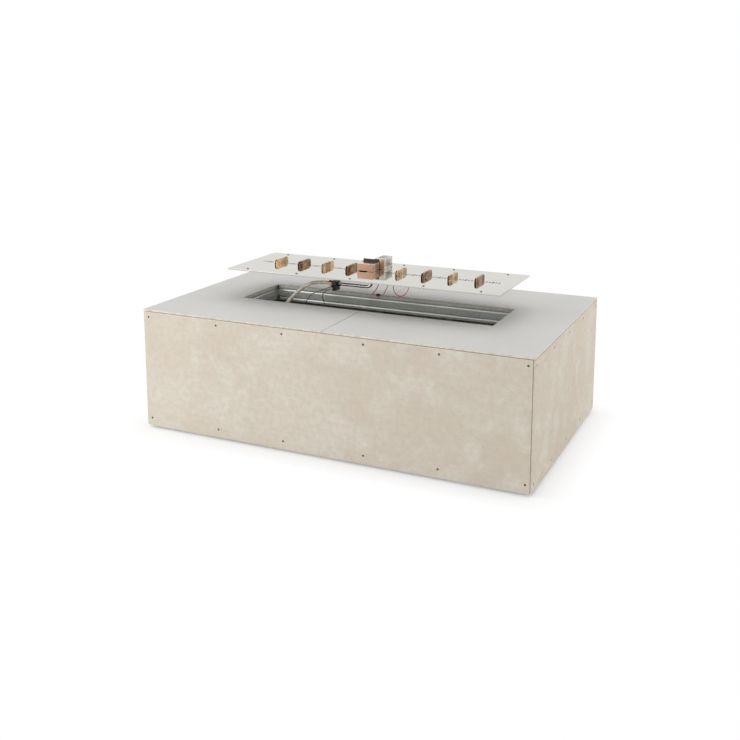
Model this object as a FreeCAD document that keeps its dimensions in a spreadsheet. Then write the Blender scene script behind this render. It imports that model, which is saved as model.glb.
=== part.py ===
import FreeCAD, Part
import math
import os

import Sketcher
from FreeCAD import Vector

# Rectangular gas fire pit table, ready to be clad by its owner: thin cement boards on a
# galvanised stud frame, and a linear burner that is shown lifted out of its opening.
# Origin: middle of the footprint on the floor. +X along the long side, +Y to the back, +Z up.

DOC = FreeCAD.newDocument("fire_pit_table")

# Driving dimensions, in millimetres

SIZES = [
    ("table_length", 1524.0, "outside length of the box"),
    ("table_depth", 914.0, "outside depth of the box"),
    ("table_height", 470.0, "floor to the top of the boards"),
    ("board", 6.35, "thickness of the cement boards"),
    ("panel_lift", 10.0, "floor to the bottom edge of the side boards"),
    ("seam_gap", 1.2, "open joint between two boards"),
    ("opening_length", 1037.0, "burner opening in the top, along X"),
    ("opening_depth", 273.0, "burner opening in the top, along Y"),
    ("steel", 1.2, "sheet thickness of studs and tracks"),
    ("web", 63.5, "web of a track, and of the opening's studs"),
    ("flange", 32.0, "leg of a stud or track"),
    ("lip", 6.0, "return lip of a stud"),
    ("rib_width", 9.0, "pressed rib along a stud's web"),
    ("rib_depth", 2.5, "depth of that rib"),
    ("rib_bevel", 2.2, "sloping side of that rib"),
    ("rib_offset", 17.0, "middle of the web to the middle of a rib"),
    ("slack", 0.3, "clearance between a piece and its seat"),
    ("track_base", 14.0, "floor to the underside of the bottom tracks"),
    ("stud_near", 160.0, "table middle to the inner studs of a long wall"),
    ("stud_far", 437.0, "table middle to the outer studs of a long wall"),
    ("side_stud_pitch", 216.0, "spacing of the studs in a short wall"),
    ("liner_setback", 4.0, "opening's edge in the boards to the steel behind it"),
    ("header_gap", 8.0, "end of a header to the joist it is clipped to"),
    ("knockout_width", 22.0, "service hole in a wall stud"),
    ("knockout_length", 60.0, "length of that hole"),
    ("knockout_corner", 6.0, "cut-off corners of that hole"),
    ("clip_leg", 25.0, "leg of a clip angle"),
    ("clip_tall", 22.0, "length of a clip angle"),
    ("screw_radius", 2.0, "shank of a board screw"),
    ("screw_head_radius", 4.0, "flush head of a board screw"),
    ("screw_head_depth", 2.6, "taper of that head"),
    ("screw_length", 16.0, "length of a board screw"),
    ("screw_from_top", 21.0, "board's top edge to its upper screws"),
    ("screw_from_bottom", 31.0, "board's bottom edge to its lower screws"),
    ("side_screw_inset", 21.0, "side board's end to its corner screws"),
    ("foot_inset", 36.0, "table end to the middle of a levelling foot"),
    ("foot_pad_radius", 19.0, "round pad of a levelling foot"),
    ("foot_pad_tall", 9.0, "height of that pad"),
    ("foot_pad_ease", 2.0, "chamfer round the top of that pad"),
    ("foot_stem_radius", 4.0, "threaded stem of a levelling foot"),
    ("foot_stem_tall", 36.0, "length of that stem above its pad"),
    ("foot_nut_flats", 13.0, "nut across its flats"),
    ("foot_nut_tall", 6.5, "height of the nut"),
    ("running_gap", 0.1, "radial clearance of a stem in its nut"),
    ("plate_length", 1118.0, "burner plate along X"),
    ("plate_depth", 368.0, "burner plate along Y"),
    ("plate_steel", 1.6, "sheet of the burner plate"),
    ("plate_rim", 5.0, "turned-down rim of the plate, sheet included"),
    ("plate_lift", 120.0, "top boards to the rim of the lifted plate"),
    ("plate_screw_inset", 24.0, "plate's long edge to its screws"),
    ("plate_screw_near", 262.0, "table middle to the inner plate screws"),
    ("plate_screw_far", 480.0, "table middle to the outer plate screws"),
    ("plate_screw_back", 51.0, "middle screw of the back row"),
    ("plate_screw_front", -34.0, "middle screw of the front row"),
    ("plate_screw_head", 4.5, "radius of a plate screw's head"),
    ("plate_screw_head_tall", 2.4, "height of that head"),
    ("plate_screw_crown", 2.7, "radius of the flat top of that head"),
    ("plate_screw_drop", 11.0, "shank of a plate screw below the sheet"),
    ("plate_hole", 3.0, "radius of the screw holes in boards and headers"),
    ("tab_pitch", 105.0, "spacing of the flame tabs"),
    ("tab_length", 96.0, "flame tab along Y"),
    ("tab_tall", 20.0, "height of a flame tab"),
    ("tab_width", 8.0, "folded width of a flame tab"),
    ("tab_steel", 1.5, "sheet of a flame tab"),
    ("tab_corner", 14.0, "rounded upper corners of a tab"),
    ("tab_hole", 3.0, "radius of the holes in a tab"),
    ("tab_hole_pitch", 22.0, "middle of a tab to each of those holes"),
    ("tab_hole_high", 5.5, "foot of a tab to the middle of those holes"),
    ("jet_slot_length", 12.0, "gas slot between two tabs, along Y"),
    ("jet_slot_width", 3.6, "width of that slot"),
    ("jet_hole", 2.1, "radius of the round gas jets"),
    ("jet_hole_pitch", 12.0, "spacing of the jets beside a slot"),
    ("chamber_length", 985.0, "gas chamber under the plate"),
    ("chamber_width", 64.0, "width of the chamber"),
    ("chamber_depth", 25.0, "depth of the chamber"),
    ("chamber_flange", 14.0, "welding flange of the chamber"),
    ("chamber_steel", 1.5, "sheet of the chamber"),
    ("hood_left", -73.0, "left end of the ignition hood"),
    ("hood_length", 70.0, "ignition hood along X"),
    ("hood_front", -18.0, "front of the hood"),
    ("hood_depth", 58.0, "ignition hood along Y"),
    ("hood_tall", 30.0, "height of the hood"),
    ("hood_steel", 1.5, "sheet of the hood"),
    ("hood_slot", 3.0, "slot under the hood's front"),
    ("hood_slot_length", 35.0, "length of that slot"),
    ("hood_slot_shift", -8.75, "middle of the hood to the middle of that slot"),
    ("cage_left", -25.0, "left side of the igniter cage"),
    ("cage_length", 43.0, "igniter cage along X"),
    ("cage_depth", 76.0, "igniter cage along Y"),
    ("cage_gap", 2.0, "hood's back to the cage"),
    ("cage_tall", 43.0, "height of the cage"),
    ("cage_slot", 4.0, "width of the cage's slots"),
    ("cage_slot_pitch", 9.0, "spacing of the cage's slots"),
    ("cage_border", 8.0, "plain border round the cage's slots"),
    ("deflector_length", 65.0, "dark deflector strip on the hood"),
    ("deflector_tall", 10.0, "height of that strip above the roof"),
    ("deflector_foot", 9.0, "foot of that strip on the roof"),
    ("electrode_radius", 5.0, "ceramic of the spark electrode"),
    ("electrode_pin", 1.2, "spark pin"),
    ("electrode_tail", 8.0, "length of the terminal under the ceramic"),
    ("electrode_tip", 28.0, "spark tip above the plate"),
    ("gas_line_offset", -20.0, "gas line under the plate, along Y"),
    ("gas_line_drop", 58.0, "plate's top to the gas line"),
    ("valve_left", -173.0, "left end of the gas valve"),
    ("valve_length", 20.0, "gas valve along X"),
    ("valve_depth", 40.0, "gas valve along Y"),
    ("valve_above", 12.0, "gas line to the valve's top"),
    ("valve_below", 26.0, "gas line to the valve's bottom"),
    ("valve_cast_tall", 25.0, "cast body of the valve, its upper part"),
    ("valve_neck_tall", 4.0, "neck between that body and the coil's cap"),
    ("valve_neck_inset", 3.0, "valve's outside to that neck"),
    ("valve_cap_inset", 1.5, "valve's outside to the coil's cap"),
    ("valve_corner", 2.0, "chamfered upright corners of the valve"),
    ("feed_radius", 6.5, "outside of the feed tube"),
    ("feed_bore", 5.3, "bore of the feed tube"),
    ("feed_bend", 20.0, "bend of the feed tube"),
    ("feed_right", -3.0, "far side of the feed tube's rise"),
    ("feed_nut_length", 13.0, "length of the nut that holds the feed tube to the valve"),
    ("feed_nut_flats", 17.0, "that nut across its flats"),
    ("flare_length", 19.0, "length of the flare nut"),
    ("flare_flats", 19.0, "flare nut across its flats"),
    ("hose_radius", 7.0, "outside of the gas hose"),
    ("wire_radius", 1.5, "outside of a wire"),
    ("bracket_right", -34.0, "right end of the valve's bracket"),
    ("bracket_inset", 4.0, "valve's side to the bracket's edge"),
    ("inlet_at_length", -462.0, "gas inlet along X"),
    ("inlet_at_depth", 12.0, "gas inlet along Y"),
    ("inlet_shelf", 150.0, "floor to the inlet's shelf"),
    ("inlet_body_radius", 13.0, "collar of the inlet fitting"),
    ("inlet_body_tall", 16.0, "collar above the shelf"),
    ("inlet_neck_radius", 9.5, "plain neck of the inlet fitting in its shelf"),
    ("inlet_neck_length", 3.0, "length of that neck"),
    ("inlet_thread_radius", 10.65, "half inch pipe thread of the inlet fitting"),
    ("inlet_thread_length", 28.0, "length of that thread below the neck"),
    ("hanger_width", 60.0, "width of the inlet's hanger"),
    ("hanger_steel", 2.0, "sheet of the hanger and of the module's bracket"),
    ("module_left", -287.0, "left end of the ignition module"),
    ("module_length", 128.0, "ignition module along X"),
    ("module_depth", 62.0, "ignition module along Y"),
    ("module_tall", 40.0, "height of the ignition module"),
    ("module_floor", 330.0, "floor to the underside of the module"),
    ("module_corner", 4.0, "chamfered upright corners of the module"),
    ("module_lid", 5.4, "height of the module's lid"),
    ("module_seam", 0.6, "groove under that lid, its height and its depth"),
    ("wire_inset_left", 6.0, "valve's left end to its left wire"),
    ("wire_inset_right", 14.0, "valve's left end to its right wire"),
    ("wire_drop", 6.0, "gas line to the wires' entries"),
    ("wire_post_left", 17.0, "module's left end to its left wire"),
    ("wire_post_right", 115.0, "module's left end to its right wire"),
    ("wire_post_inset", 4.8, "module's back face to its wires"),
    ("connector_length", 14.0, "connector on the spark lead"),
    ("connector_tall", 9.0, "height of that connector"),
    ("connector_at_length", 19.0, "middle of that connector along X"),
    ("connector_drop", 60.4, "chamber's underside to the middle of that connector"),
    ("return_end_length", 60.0, "end of the return lead along X"),
    ("return_end_depth", -18.0, "end of the return lead along Y"),
    ("sensor_start_length", 80.0, "start of the sensor lead along X"),
    ("sensor_start_depth", -17.0, "start of the sensor lead along Y"),
    ("sensor_end_length", 141.0, "end of the sensor lead along X"),
    ("sensor_end_depth", -4.0, "end of the sensor lead along Y"),
]

# Number of sides that stand for a small circle, and the turn that one chord of a bend may take

JET_SIDES = 6
HOLE_SIDES = 6
STEM_SIDES = 8
PAD_SIDES = 16
NUT_SIDES = 6
TAB_CHORDS = 3
FEED_TURN = math.radians(23)
WIRE_TURN = math.radians(14)
HOSE_SIDES = 8
WIRE_SIDES = 6

# Routes of the hose, the wires and the leads between their two ends. Each row is the share of the
# way from the first end to the last, and the shift from there along X, Y and Z.

HOSE_ROUTE = [(0.0, -53.7, 0.0, 0.0), (0.05, -94.2, -3.6, -1.5), (0.16, -110.5, -7.1, 0.4),
              (0.29, -121.5, -7.3, 0.6), (0.45, -116.3, -2.4, 2.0), (0.62, -95.5, 4.2, -1.0),
              (1.0, 0.0, 0.0, 68.0)]
LEFT_WIRE_ROUTE = [(0.0, 0.0, -12.0, 0.0), (0.03, -9.9, -21.5, -0.2), (0.1, -22.7, -17.6, 0.1),
                   (0.16, -44.5, -9.2, 0.8), (0.25, -63.2, -6.5, 0.2), (0.4, -65.8, -3.4, -0.6),
                   (0.6, -52.2, -1.3, 1.6), (0.76, -31.7, -4.8, -0.6), (1.0, 0.0, 0.0, 20.0)]
RIGHT_WIRE_ROUTE = [(0.0, 0.0, -12.0, 0.0), (0.04, -8.5, -24.1, -0.6), (0.11, -25.6, -27.2, -0.3),
                    (0.21, -38.3, -21.2, -0.2), (0.34, -32.6, -13.9, -0.3),
                    (0.48, -16.8, -10.2, 0.3), (0.63, -2.8, -8.1, 0.4), (0.78, 2.1, -6.0, 0.6),
                    (1.0, 0.0, 0.0, 18.0)]
SPARK_ROUTE = [(0.0, 0.0, 0.0, -16.0), (0.25, -4.3, -1.0, -21.3), (0.6, -12.5, 0.0, -19.2),
               (0.9, -25.4, 2.0, -10.0), (1.0, -14.0, 0.0, 0.0)]
RETURN_ROUTE = [(0.0, 12.0, 0.0, 0.0), (0.6, 1.6, -2.2, -21.2), (0.9, -0.6, -1.8, -20.4),
                (1.0, 0.0, 0.0, -12.0)]
SENSOR_ROUTE = [(0.0, 0.0, 0.0, -14.0), (0.05, 0.0, -3.6, -32.4), (0.2, -0.2, -6.6, -49.4),
                (0.45, -0.5, -7.9, -57.4), (0.7, 0.3, -7.1, -54.4), (0.9, 0.1, -3.7, -39.4),
                (1.0, 0.0, -1.0, -20.4), (1.0, 0.0, 0.0, -9.0)]

SHEET = DOC.addObject("Spreadsheet::Sheet", "Sizes")
for row, (alias, number, meaning) in enumerate(SIZES, start=1):
    SHEET.set("A%d" % row, meaning)
    SHEET.set("B%d" % row, str(number))
    SHEET.setAlias("B%d" % row, alias)
DOC.recompute()

# Heights and half sizes that several pieces share, worked out on the sheet itself

DERIVED = [
    ("board_under", "table_height - board"),
    ("panel_tall", "board_under - seam_gap - panel_lift"),
    ("frame_half_length", "table_length / 2 - board"),
    ("frame_half_depth", "table_depth / 2 - board"),
    ("wall_middle_length", "frame_half_length - web / 2"),
    ("wall_middle_depth", "frame_half_depth - web / 2"),
    ("inner_half_depth", "frame_half_depth - web"),
    ("liner_half_length", "opening_length / 2 + liner_setback"),
    ("liner_half_depth", "opening_depth / 2 + liner_setback"),
    ("liner_middle_height", "board_under - web / 2"),
    ("stud_web", "web - 2 * steel - 2 * slack"),
    ("stud_foot", "track_base + steel + slack"),
    ("stud_tall", "board_under - steel - slack - stud_foot"),
    ("screw_high", "board_under - seam_gap - screw_from_top"),
    ("screw_low", "panel_lift + screw_from_bottom"),
    ("plate_seat", "table_height + plate_lift"),
    ("plate_top", "plate_seat + plate_rim"),
    ("plate_under", "plate_top - plate_steel"),
    ("plate_screw_offset", "plate_depth / 2 - plate_screw_inset"),
    ("chamber_under", "plate_under - chamber_depth"),
    ("gas_line", "plate_top - gas_line_drop"),
    ("valve_top", "gas_line + valve_above"),
]
FIRST_DERIVED = len(SIZES) + 1
for row, (alias, formula) in enumerate(DERIVED, start=FIRST_DERIVED):
    SHEET.set("A%d" % row, alias.replace("_", " "))
    SHEET.set("B%d" % row, "=" + formula)
    SHEET.setAlias("B%d" % row, alias)
DOC.recompute()

PARTS = []
X, Y, Z = Vector(1, 0, 0), Vector(0, 1, 0), Vector(0, 0, 1)


def size(alias):
    """One value of the sheet, in millimetres."""
    return float(getattr(SHEET, alias))


def bind(thing, **formulas):
    """Ties properties to formulas; a double underscore stands for the dot in a property's path."""
    for path, formula in formulas.items():
        words = []
        for word in str(formula).replace("(", "( ").replace(")", " )").split():
            words.append("Sizes." + word if hasattr(SHEET, word) and word.islower() else word)
        thing.setExpression(path.replace("__", "."), " ".join(words))


def at(thing, along_x="0", along_y="0", along_z="0", x_axis=X, y_axis=Y):
    """Places a piece: its own X and Y axes point as given, and its origin lies at the formulas."""
    turn = FreeCAD.Rotation(x_axis, y_axis, x_axis.cross(y_axis), "XYZ")
    thing.Placement = FreeCAD.Placement(Vector(), turn)
    bind(thing, Placement__Base__x=along_x, Placement__Base__y=along_y, Placement__Base__z=along_z)
    return thing


def keep(thing, label):
    """Makes a finished object one of the table's own pieces."""
    thing.Label = label
    PARTS.append(thing)
    return thing


# Sketches and pads

def new_body(label):
    body = DOC.addObject("PartDesign::Body", label)
    body.Label = label
    return body


def new_sketch(body, name, lift="0", shift_x="0", shift_y="0"):
    """A sketch on the body's own XY plane, moved by formulas."""
    sketch = body.newObject("Sketcher::SketchObject", name)
    for feature in body.Origin.OriginFeatures:
        if feature.Role == "XY_Plane":
            sketch.AttachmentSupport = [(feature, "")]
    sketch.MapMode = "FlatFace"
    bind(sketch, AttachmentOffset__Base__x=shift_x, AttachmentOffset__Base__y=shift_y,
         AttachmentOffset__Base__z=lift)
    return sketch


def rectangle(sketch, width, height):
    """A rectangle about the sketch's origin, with both sides tied to formulas."""
    corners = [Vector(-10, -5, 0), Vector(10, -5, 0), Vector(10, 5, 0), Vector(-10, 5, 0)]
    for number in range(4):
        sketch.addGeometry(Part.LineSegment(corners[number], corners[(number + 1) % 4]), False)
    for number in range(4):
        joint = Sketcher.Constraint("Coincident", number, 2, (number + 1) % 4, 1)
        sketch.addConstraint(joint)
        level = "Horizontal" if number % 2 == 0 else "Vertical"
        sketch.addConstraint(Sketcher.Constraint(level, number))
    sketch.addConstraint(Sketcher.Constraint("Symmetric", 0, 1, 2, 1, -1, 1))
    across = sketch.addConstraint(Sketcher.Constraint("DistanceX", 0, 1, 0, 2, 20.0))
    sketch.renameConstraint(across, "width")
    upward = sketch.addConstraint(Sketcher.Constraint("DistanceY", 1, 1, 1, 2, 10.0))
    sketch.renameConstraint(upward, "height")
    bind(sketch, Constraints__width=width, Constraints__height=height)


def outline(sketch, *loops):
    """Closed runs of straight edges through each loop's points, every edge held in place."""
    first = 0
    for points in loops:
        corners = [Vector(x, y, 0) for x, y in points]
        count = len(corners)
        for number in range(count):
            edge = Part.LineSegment(corners[number], corners[(number + 1) % count])
            sketch.addGeometry(edge, False)
        for number in range(count):
            after = first + (number + 1) % count
            joint = Sketcher.Constraint("Coincident", first + number, 2, after, 1)
            sketch.addConstraint(joint)
        for number in range(count):
            sketch.addConstraint(Sketcher.Constraint("Block", first + number))
        first += count


def around(x, y, radius, sides):
    """Points of a many-sided ring about a centre, which stands for a small circle."""
    angles = [2 * math.pi * number / sides for number in range(sides)]
    return [(x + radius * math.cos(angle), y + radius * math.sin(angle)) for angle in angles]


def pad(body, sketch, length, name="Pad"):
    feature = body.newObject("PartDesign::Pad", name)
    feature.Profile = sketch
    bind(feature, Length=length)
    sketch.Visibility = False
    body.Tip = feature
    return feature


def pocket(body, sketch, depth, name="Pocket", upward=False):
    """Cuts down into the solid under the sketch, or up into the one above it."""
    feature = body.newObject("PartDesign::Pocket", name)
    feature.Profile = sketch
    feature.Reversed = upward
    bind(feature, Length=depth)
    sketch.Visibility = False
    body.Tip = feature
    return feature


def block(label, along_x, along_y, along_z):
    """A plain board or block: a rectangle about its own origin, padded upward."""
    body = new_body(label)
    face = new_sketch(body, label + "_face")
    rectangle(face, along_x, along_y)
    pad(body, face, along_z)
    return body


def holes_cut(base, label, drills):
    """The base less a set of drills."""
    tool = DOC.addObject("Part::Compound", label + "_holes")
    tool.Links = drills
    cut = DOC.addObject("Part::Cut", label)
    cut.Base = base
    cut.Tool = tool
    cut.Refine = True
    return cut


def cylinder(name, radius, tall):
    piece = DOC.addObject("Part::Cylinder", name)
    bind(piece, Radius=radius, Height=tall)
    return piece


def prism(name, radius, tall, sides):
    """An upright many-sided bar, for small round parts that need no true cylinder."""
    piece = DOC.addObject("Part::Prism", name)
    piece.Polygon = sides
    bind(piece, Circumradius=radius, Height=tall)
    return piece


def ring(place, axis, radius, sides):
    """Corners of a many-sided ring about an axis, the first one given again at the end."""
    turn = FreeCAD.Rotation(Z, axis)
    corners = [place + turn.multVec(Vector(x, y, 0)) for x, y in around(0, 0, radius, sides)]
    return corners + corners[:1]


def bar(place, axis, radius, length, sides):
    """A many-sided bar along an axis."""
    return Part.Face(Part.makePolygon(ring(place, axis, radius, sides))).extrude(axis * length)


def taper(place, axis, first_radius, last_radius, length, sides):
    """A many-sided bar with flat sides that narrows along an axis."""
    near = ring(place, axis, first_radius, sides)
    far = ring(place + axis * length, axis, last_radius, sides)
    faces = [Part.Face(Part.makePolygon(near)), Part.Face(Part.makePolygon(far))]
    for number in range(sides):
        side = [near[number], near[number + 1], far[number + 1], far[number], near[number]]
        faces.append(Part.Face(Part.makePolygon(side)))
    solid = Part.Solid(Part.Shell(faces))
    if solid.Volume < 0:
        solid.reverse()
    return solid


def eased_rectangle(half_long, half_wide, corner):
    """Corners of a rectangle about the origin whose own corners are cut off."""
    quarter = [(half_long, half_wide - corner), (half_long - corner, half_wide)]
    half = quarter + [(-x, y) for x, y in reversed(quarter)]
    return half + [(-x, -y) for x, y in half]


def stack(place, stages):
    """Blocks with chamfered corners on top of each other, the lowest one first."""
    shape = None
    for half_long, half_wide, corner, tall in stages:
        corners = [place + Vector(x, y, 0) for x, y in eased_rectangle(half_long, half_wide, corner)]
        stage = Part.Face(Part.makePolygon(corners + corners[:1])).extrude(Z * tall)
        shape = shape.fuse(stage) if shape else stage
        place = place + Z * tall
    return shape.removeSplitter()


def shapes_cut(base, label, shapes):
    """The base less a set of plain shapes."""
    tool = DOC.addObject("Part::Feature", label + "_cutters")
    tool.Shape = Part.makeCompound(shapes)
    cut = DOC.addObject("Part::Cut", label)
    cut.Base = base
    cut.Tool = tool
    cut.Refine = True
    return cut


def group(label, shapes):
    """Identical pieces that share a name, each a solid of its own."""
    piece = DOC.addObject("Part::Feature", label)
    piece.Shape = Part.makeCompound(shapes)
    return keep(piece, label)


# Cement boards

def side_boards():
    """The long boards stand between the short ones, whose ends show at the corners."""
    long_side = "table_length - 2 * board - 2 * seam_gap"
    for label, side in (("front_panel", -1), ("back_panel", 1)):
        sheet = block(label + "_board", long_side, "panel_tall", "board")
        edge = "%d * frame_half_depth" % side
        at(sheet, "0", edge, "panel_lift + panel_tall / 2", x_axis=X * -side, y_axis=Z)
        keep(screw_holes(sheet, label, long_wall_screws(side)), label)
    for label, side in (("left_panel", -1), ("right_panel", 1)):
        sheet = block(label + "_board", "table_depth", "panel_tall", "board")
        edge = "%d * frame_half_length" % side
        at(sheet, edge, "0", "panel_lift + panel_tall / 2", x_axis=Y * side, y_axis=Z)
        keep(screw_holes(sheet, label, short_wall_screws(side)), label)


def top_boards():
    """Two equal boards meet at the middle, each with half of the opening cut from its inner end."""
    for label, side in (("top_board_left", -1), ("top_board_right", 1)):
        half = "( table_length - seam_gap ) / 2"
        body = block(label + "_board", half, "table_depth", "board")
        middle = "%d * ( table_length + seam_gap ) / 4" % side
        at(body, middle, "0", "board_under")
        notch = new_sketch(body, label + "_notch", lift="board", shift_x="-1 * " + middle)
        rectangle(notch, "opening_length", "opening_depth")
        pocket(body, notch, "2 * board")
        drills = []
        for x, y in plate_screw_places():
            if x * side > 0:
                drills.append(plate_drill(label, x, y, "board_under - board", "3 * board"))
        keep(holes_cut(body, label, drills), label)


# Cold-formed steel

def channel(web, leg, lip, sheet, ribs):
    """Section of a stud or track: the web's outer face on x = 0, its legs towards +x."""
    half, width, depth, bevel = web / 2, size("rib_width"), size("rib_depth"), size("rib_bevel")
    outer = [(leg, -half)]
    if lip:
        outer.insert(0, (leg, lip - half))
    outer.append((0, -half))
    for middle in ribs:
        outer.append((0, middle - width / 2))
        outer.append((depth, middle - width / 2 + bevel))
        outer.append((depth, middle + width / 2 - bevel))
        outer.append((0, middle + width / 2))
    outer.append((0, half))
    outer.append((leg, half))
    if lip:
        outer.append((leg, half - lip))
        inner = [(leg - sheet, half - lip), (leg - sheet, half - sheet)]
    else:
        inner = [(leg, half - sheet)]
    inner.append((sheet, half - sheet))
    for middle in reversed(ribs):
        inner.append((sheet, middle + width / 2))
        inner.append((depth + sheet, middle + width / 2 - bevel))
        inner.append((depth + sheet, middle - width / 2 + bevel))
        inner.append((sheet, middle - width / 2))
    inner.append((sheet, sheet - half))
    if lip:
        inner.append((leg - sheet, sheet - half))
        inner.append((leg - sheet, lip - half))
    else:
        inner.append((leg, sheet - half))
    return outer + inner


def member(label, web, lip, ribs, length):
    """A length of rolled channel, padded along its own Z."""
    body = new_body(label)
    section = new_sketch(body, label + "_section")
    offset = size("rib_offset")
    places = (-offset, offset) if ribs else ()
    outline(section, channel(size(web), size("flange"), lip, size("steel"), places))
    pad(body, section, length)
    return body


def tracks():
    """Two rings of plain channel, one open upward on the feet and one open downward."""
    for level, height, up in (("bottom", "track_base", 1), ("top", "board_under", -1)):
        for wall, side in (("front", -1), ("back", 1)):
            label = "%s_%s_track" % (wall, level)
            rail = member(label + "_rail", "web", 0, False, "2 * frame_half_length")
            at(rail, "%d * frame_half_length" % up, "%d * wall_middle_depth" % side, height,
               x_axis=Z * up, y_axis=Y)
            if level == "bottom":
                keep(holes_cut(rail, label, foot_drills(label, side)), label)
            else:
                keep(rail, label)
        for wall, side in (("left", -1), ("right", 1)):
            label = "%s_%s_track" % (wall, level)
            rail = member(label, "web", 0, False, "2 * inner_half_depth")
            at(rail, "%d * wall_middle_length" % side, "-1 * %d * inner_half_depth" % up, height,
               x_axis=Z * up, y_axis=X)
            keep(rail, label)


def foot_drills(label, side):
    """Clearance holes for the two levelling feet under a long wall."""
    drills = []
    for end in (-1, 1):
        drill = prism("%s_drill_%d" % (label, end + 1), "foot_stem_radius + 2 * slack", "4 * steel",
                      STEM_SIDES)
        at(drill, "%d * ( table_length / 2 - foot_inset )" % end,
           "%d * wall_middle_depth" % side, "track_base - steel")
        drills.append(drill)
    return drills


def wall_stud(label):
    """An upright stud with one service hole at half its height."""
    body = member(label, "stud_web", size("lip"), False, "stud_tall")
    middle = size("stud_tall") / 2
    ring_points = eased_rectangle(size("knockout_width") / 2, size("knockout_length") / 2,
                                  size("knockout_corner"))
    shape = [(across, middle + up) for across, up in ring_points]
    hole = body.newObject("Sketcher::SketchObject", label + "_knockout")
    for feature in body.Origin.OriginFeatures:
        if feature.Role == "YZ_Plane":
            hole.AttachmentSupport = [(feature, "")]
    hole.MapMode = "FlatFace"
    outline(hole, shape)
    pocket(body, hole, "3 * steel", upward=True)
    return body


def wall_studs():
    """Studs stand in the tracks where the boards are screwed on, and in the four corners."""
    plain = wall_stud("stud_pattern")
    DOC.recompute()
    places = {"corner_studs": [], "long_wall_studs": [], "short_wall_studs": []}
    leg, edge = size("flange"), size("frame_half_length") - size("slack")
    for side in (-1, 1):
        row = side * size("wall_middle_depth")
        for end in (-1, 1):
            places["corner_studs"].append((end * edge, row, X * -end, Y * -end))
            for reach in ("stud_near", "stud_far"):
                middle = end * (size(reach) + leg / 2)
                places["long_wall_studs"].append((middle, row, X * -end, Y * -end))
        column = side * size("wall_middle_length")
        for step in (-1, 0, 1):
            middle = step * size("side_stud_pitch") - leg / 2
            places["short_wall_studs"].append((column, middle, Y, X * -1))
    for label, spots in places.items():
        shapes = []
        for x, y, x_axis, y_axis in spots:
            turn = FreeCAD.Rotation(x_axis, y_axis, Z, "XYZ")
            spot = FreeCAD.Placement(Vector(x, y, size("stud_foot")), turn)
            shapes.append(plain.Shape.transformed(spot.toMatrix(), True))
        group(label, shapes)


def opening_frame():
    """Two joists run from front to back beside the opening, with the headers clipped between."""
    lip = size("lip")
    for label, side in (("opening_left_joist", -1), ("opening_right_joist", 1)):
        joist = member(label, "web", lip, True, "2 * ( inner_half_depth - slack )")
        at(joist, "%d * liner_half_length" % side, "-1 * %d * ( inner_half_depth - slack )" % -side,
           "liner_middle_height", x_axis=X * side, y_axis=Z)
        keep(joist, label)
    for label, side in (("opening_front_header", -1), ("opening_back_header", 1)):
        header = member(label + "_rail", "web", lip, True, "2 * ( liner_half_length - header_gap )")
        at(header, "-1 * %d * ( liner_half_length - header_gap )" % side,
           "%d * liner_half_depth" % side, "liner_middle_height", x_axis=Y * side, y_axis=Z)
        drills = []
        for x, y in plate_screw_places():
            if y * side > 0:
                drills.append(plate_drill(label, x, y, "board_under - 2 * steel", "3 * steel"))
        keep(holes_cut(header, label, drills), label)
    run = "inner_half_depth - liner_half_depth - flange - 2 * slack"
    for label, side in (("front_seam_joist", -1), ("back_seam_joist", 1)):
        joist = member(label, "web", lip, True, run)
        start = "inner_half_depth - slack" if side > 0 else "-1 * ( inner_half_depth - slack - ( %s ) )" % run
        at(joist, "flange / -2", start, "liner_middle_height", x_axis=X, y_axis=Z)
        keep(joist, label)


def clip_angles():
    """Small bent angles: four hold the headers to the joists, six hold joist ends to the tracks."""
    leg, sheet, tall = size("clip_leg"), size("steel"), size("clip_tall")
    body = new_body("clip_pattern")
    section = new_sketch(body, "clip_section")
    outline(section, [(0, 0), (leg, 0), (leg, sheet), (sheet, sheet), (sheet, leg), (0, leg)])
    pad(body, section, "clip_tall")
    DOC.recompute()
    header_row = size("liner_half_depth") + sheet
    end_row = size("inner_half_depth")
    level = size("liner_middle_height") - tall / 2
    track_level = size("board_under") - size("flange") / 2 - tall / 2
    face = size("liner_half_length")
    spots = []
    for end in (-1, 1):
        for side in (-1, 1):
            spots.append((end * face, side * header_row, level, X * -end, Y * side))
            spots.append((end * face, side * end_row, track_level, X * -end, Y * -side))
    for side in (-1, 1):
        spots.append((-size("flange") / 2, side * end_row, track_level, X * -1, Y * -side))
    shapes = []
    for x, y, z, x_axis, y_axis in spots:
        upward = x_axis.cross(y_axis)
        base = z if upward.z > 0 else z + tall
        turn = FreeCAD.Rotation(x_axis, y_axis, upward, "XYZ")
        spot = FreeCAD.Placement(Vector(x, y, base), turn)
        shapes.append(body.Shape.transformed(spot.toMatrix(), True))
    group("clip_angles", shapes)


# Board screws

def long_wall_screws(side):
    """Upper and lower row of a long board: place and inward direction of each screw."""
    corner = size("frame_half_length") - size("slack") - size("flange") / 2
    spots = []
    for height in (size("screw_high"), size("screw_low")):
        for reach in (size("stud_near"), size("stud_far"), corner):
            for end in (-1, 1):
                place = Vector(end * reach, side * size("table_depth") / 2, height)
                spots.append((place, Y * -side))
    return spots


def short_wall_screws(side):
    """Upper and lower row of a short board."""
    pitch = size("side_stud_pitch")
    corner = size("table_depth") / 2 - size("side_screw_inset")
    spots = []
    for height in (size("screw_high"), size("screw_low")):
        for reach in (-corner, -pitch, 0.0, pitch, corner):
            place = Vector(side * size("table_length") / 2, reach, height)
            spots.append((place, X * -side))
    return spots


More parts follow.
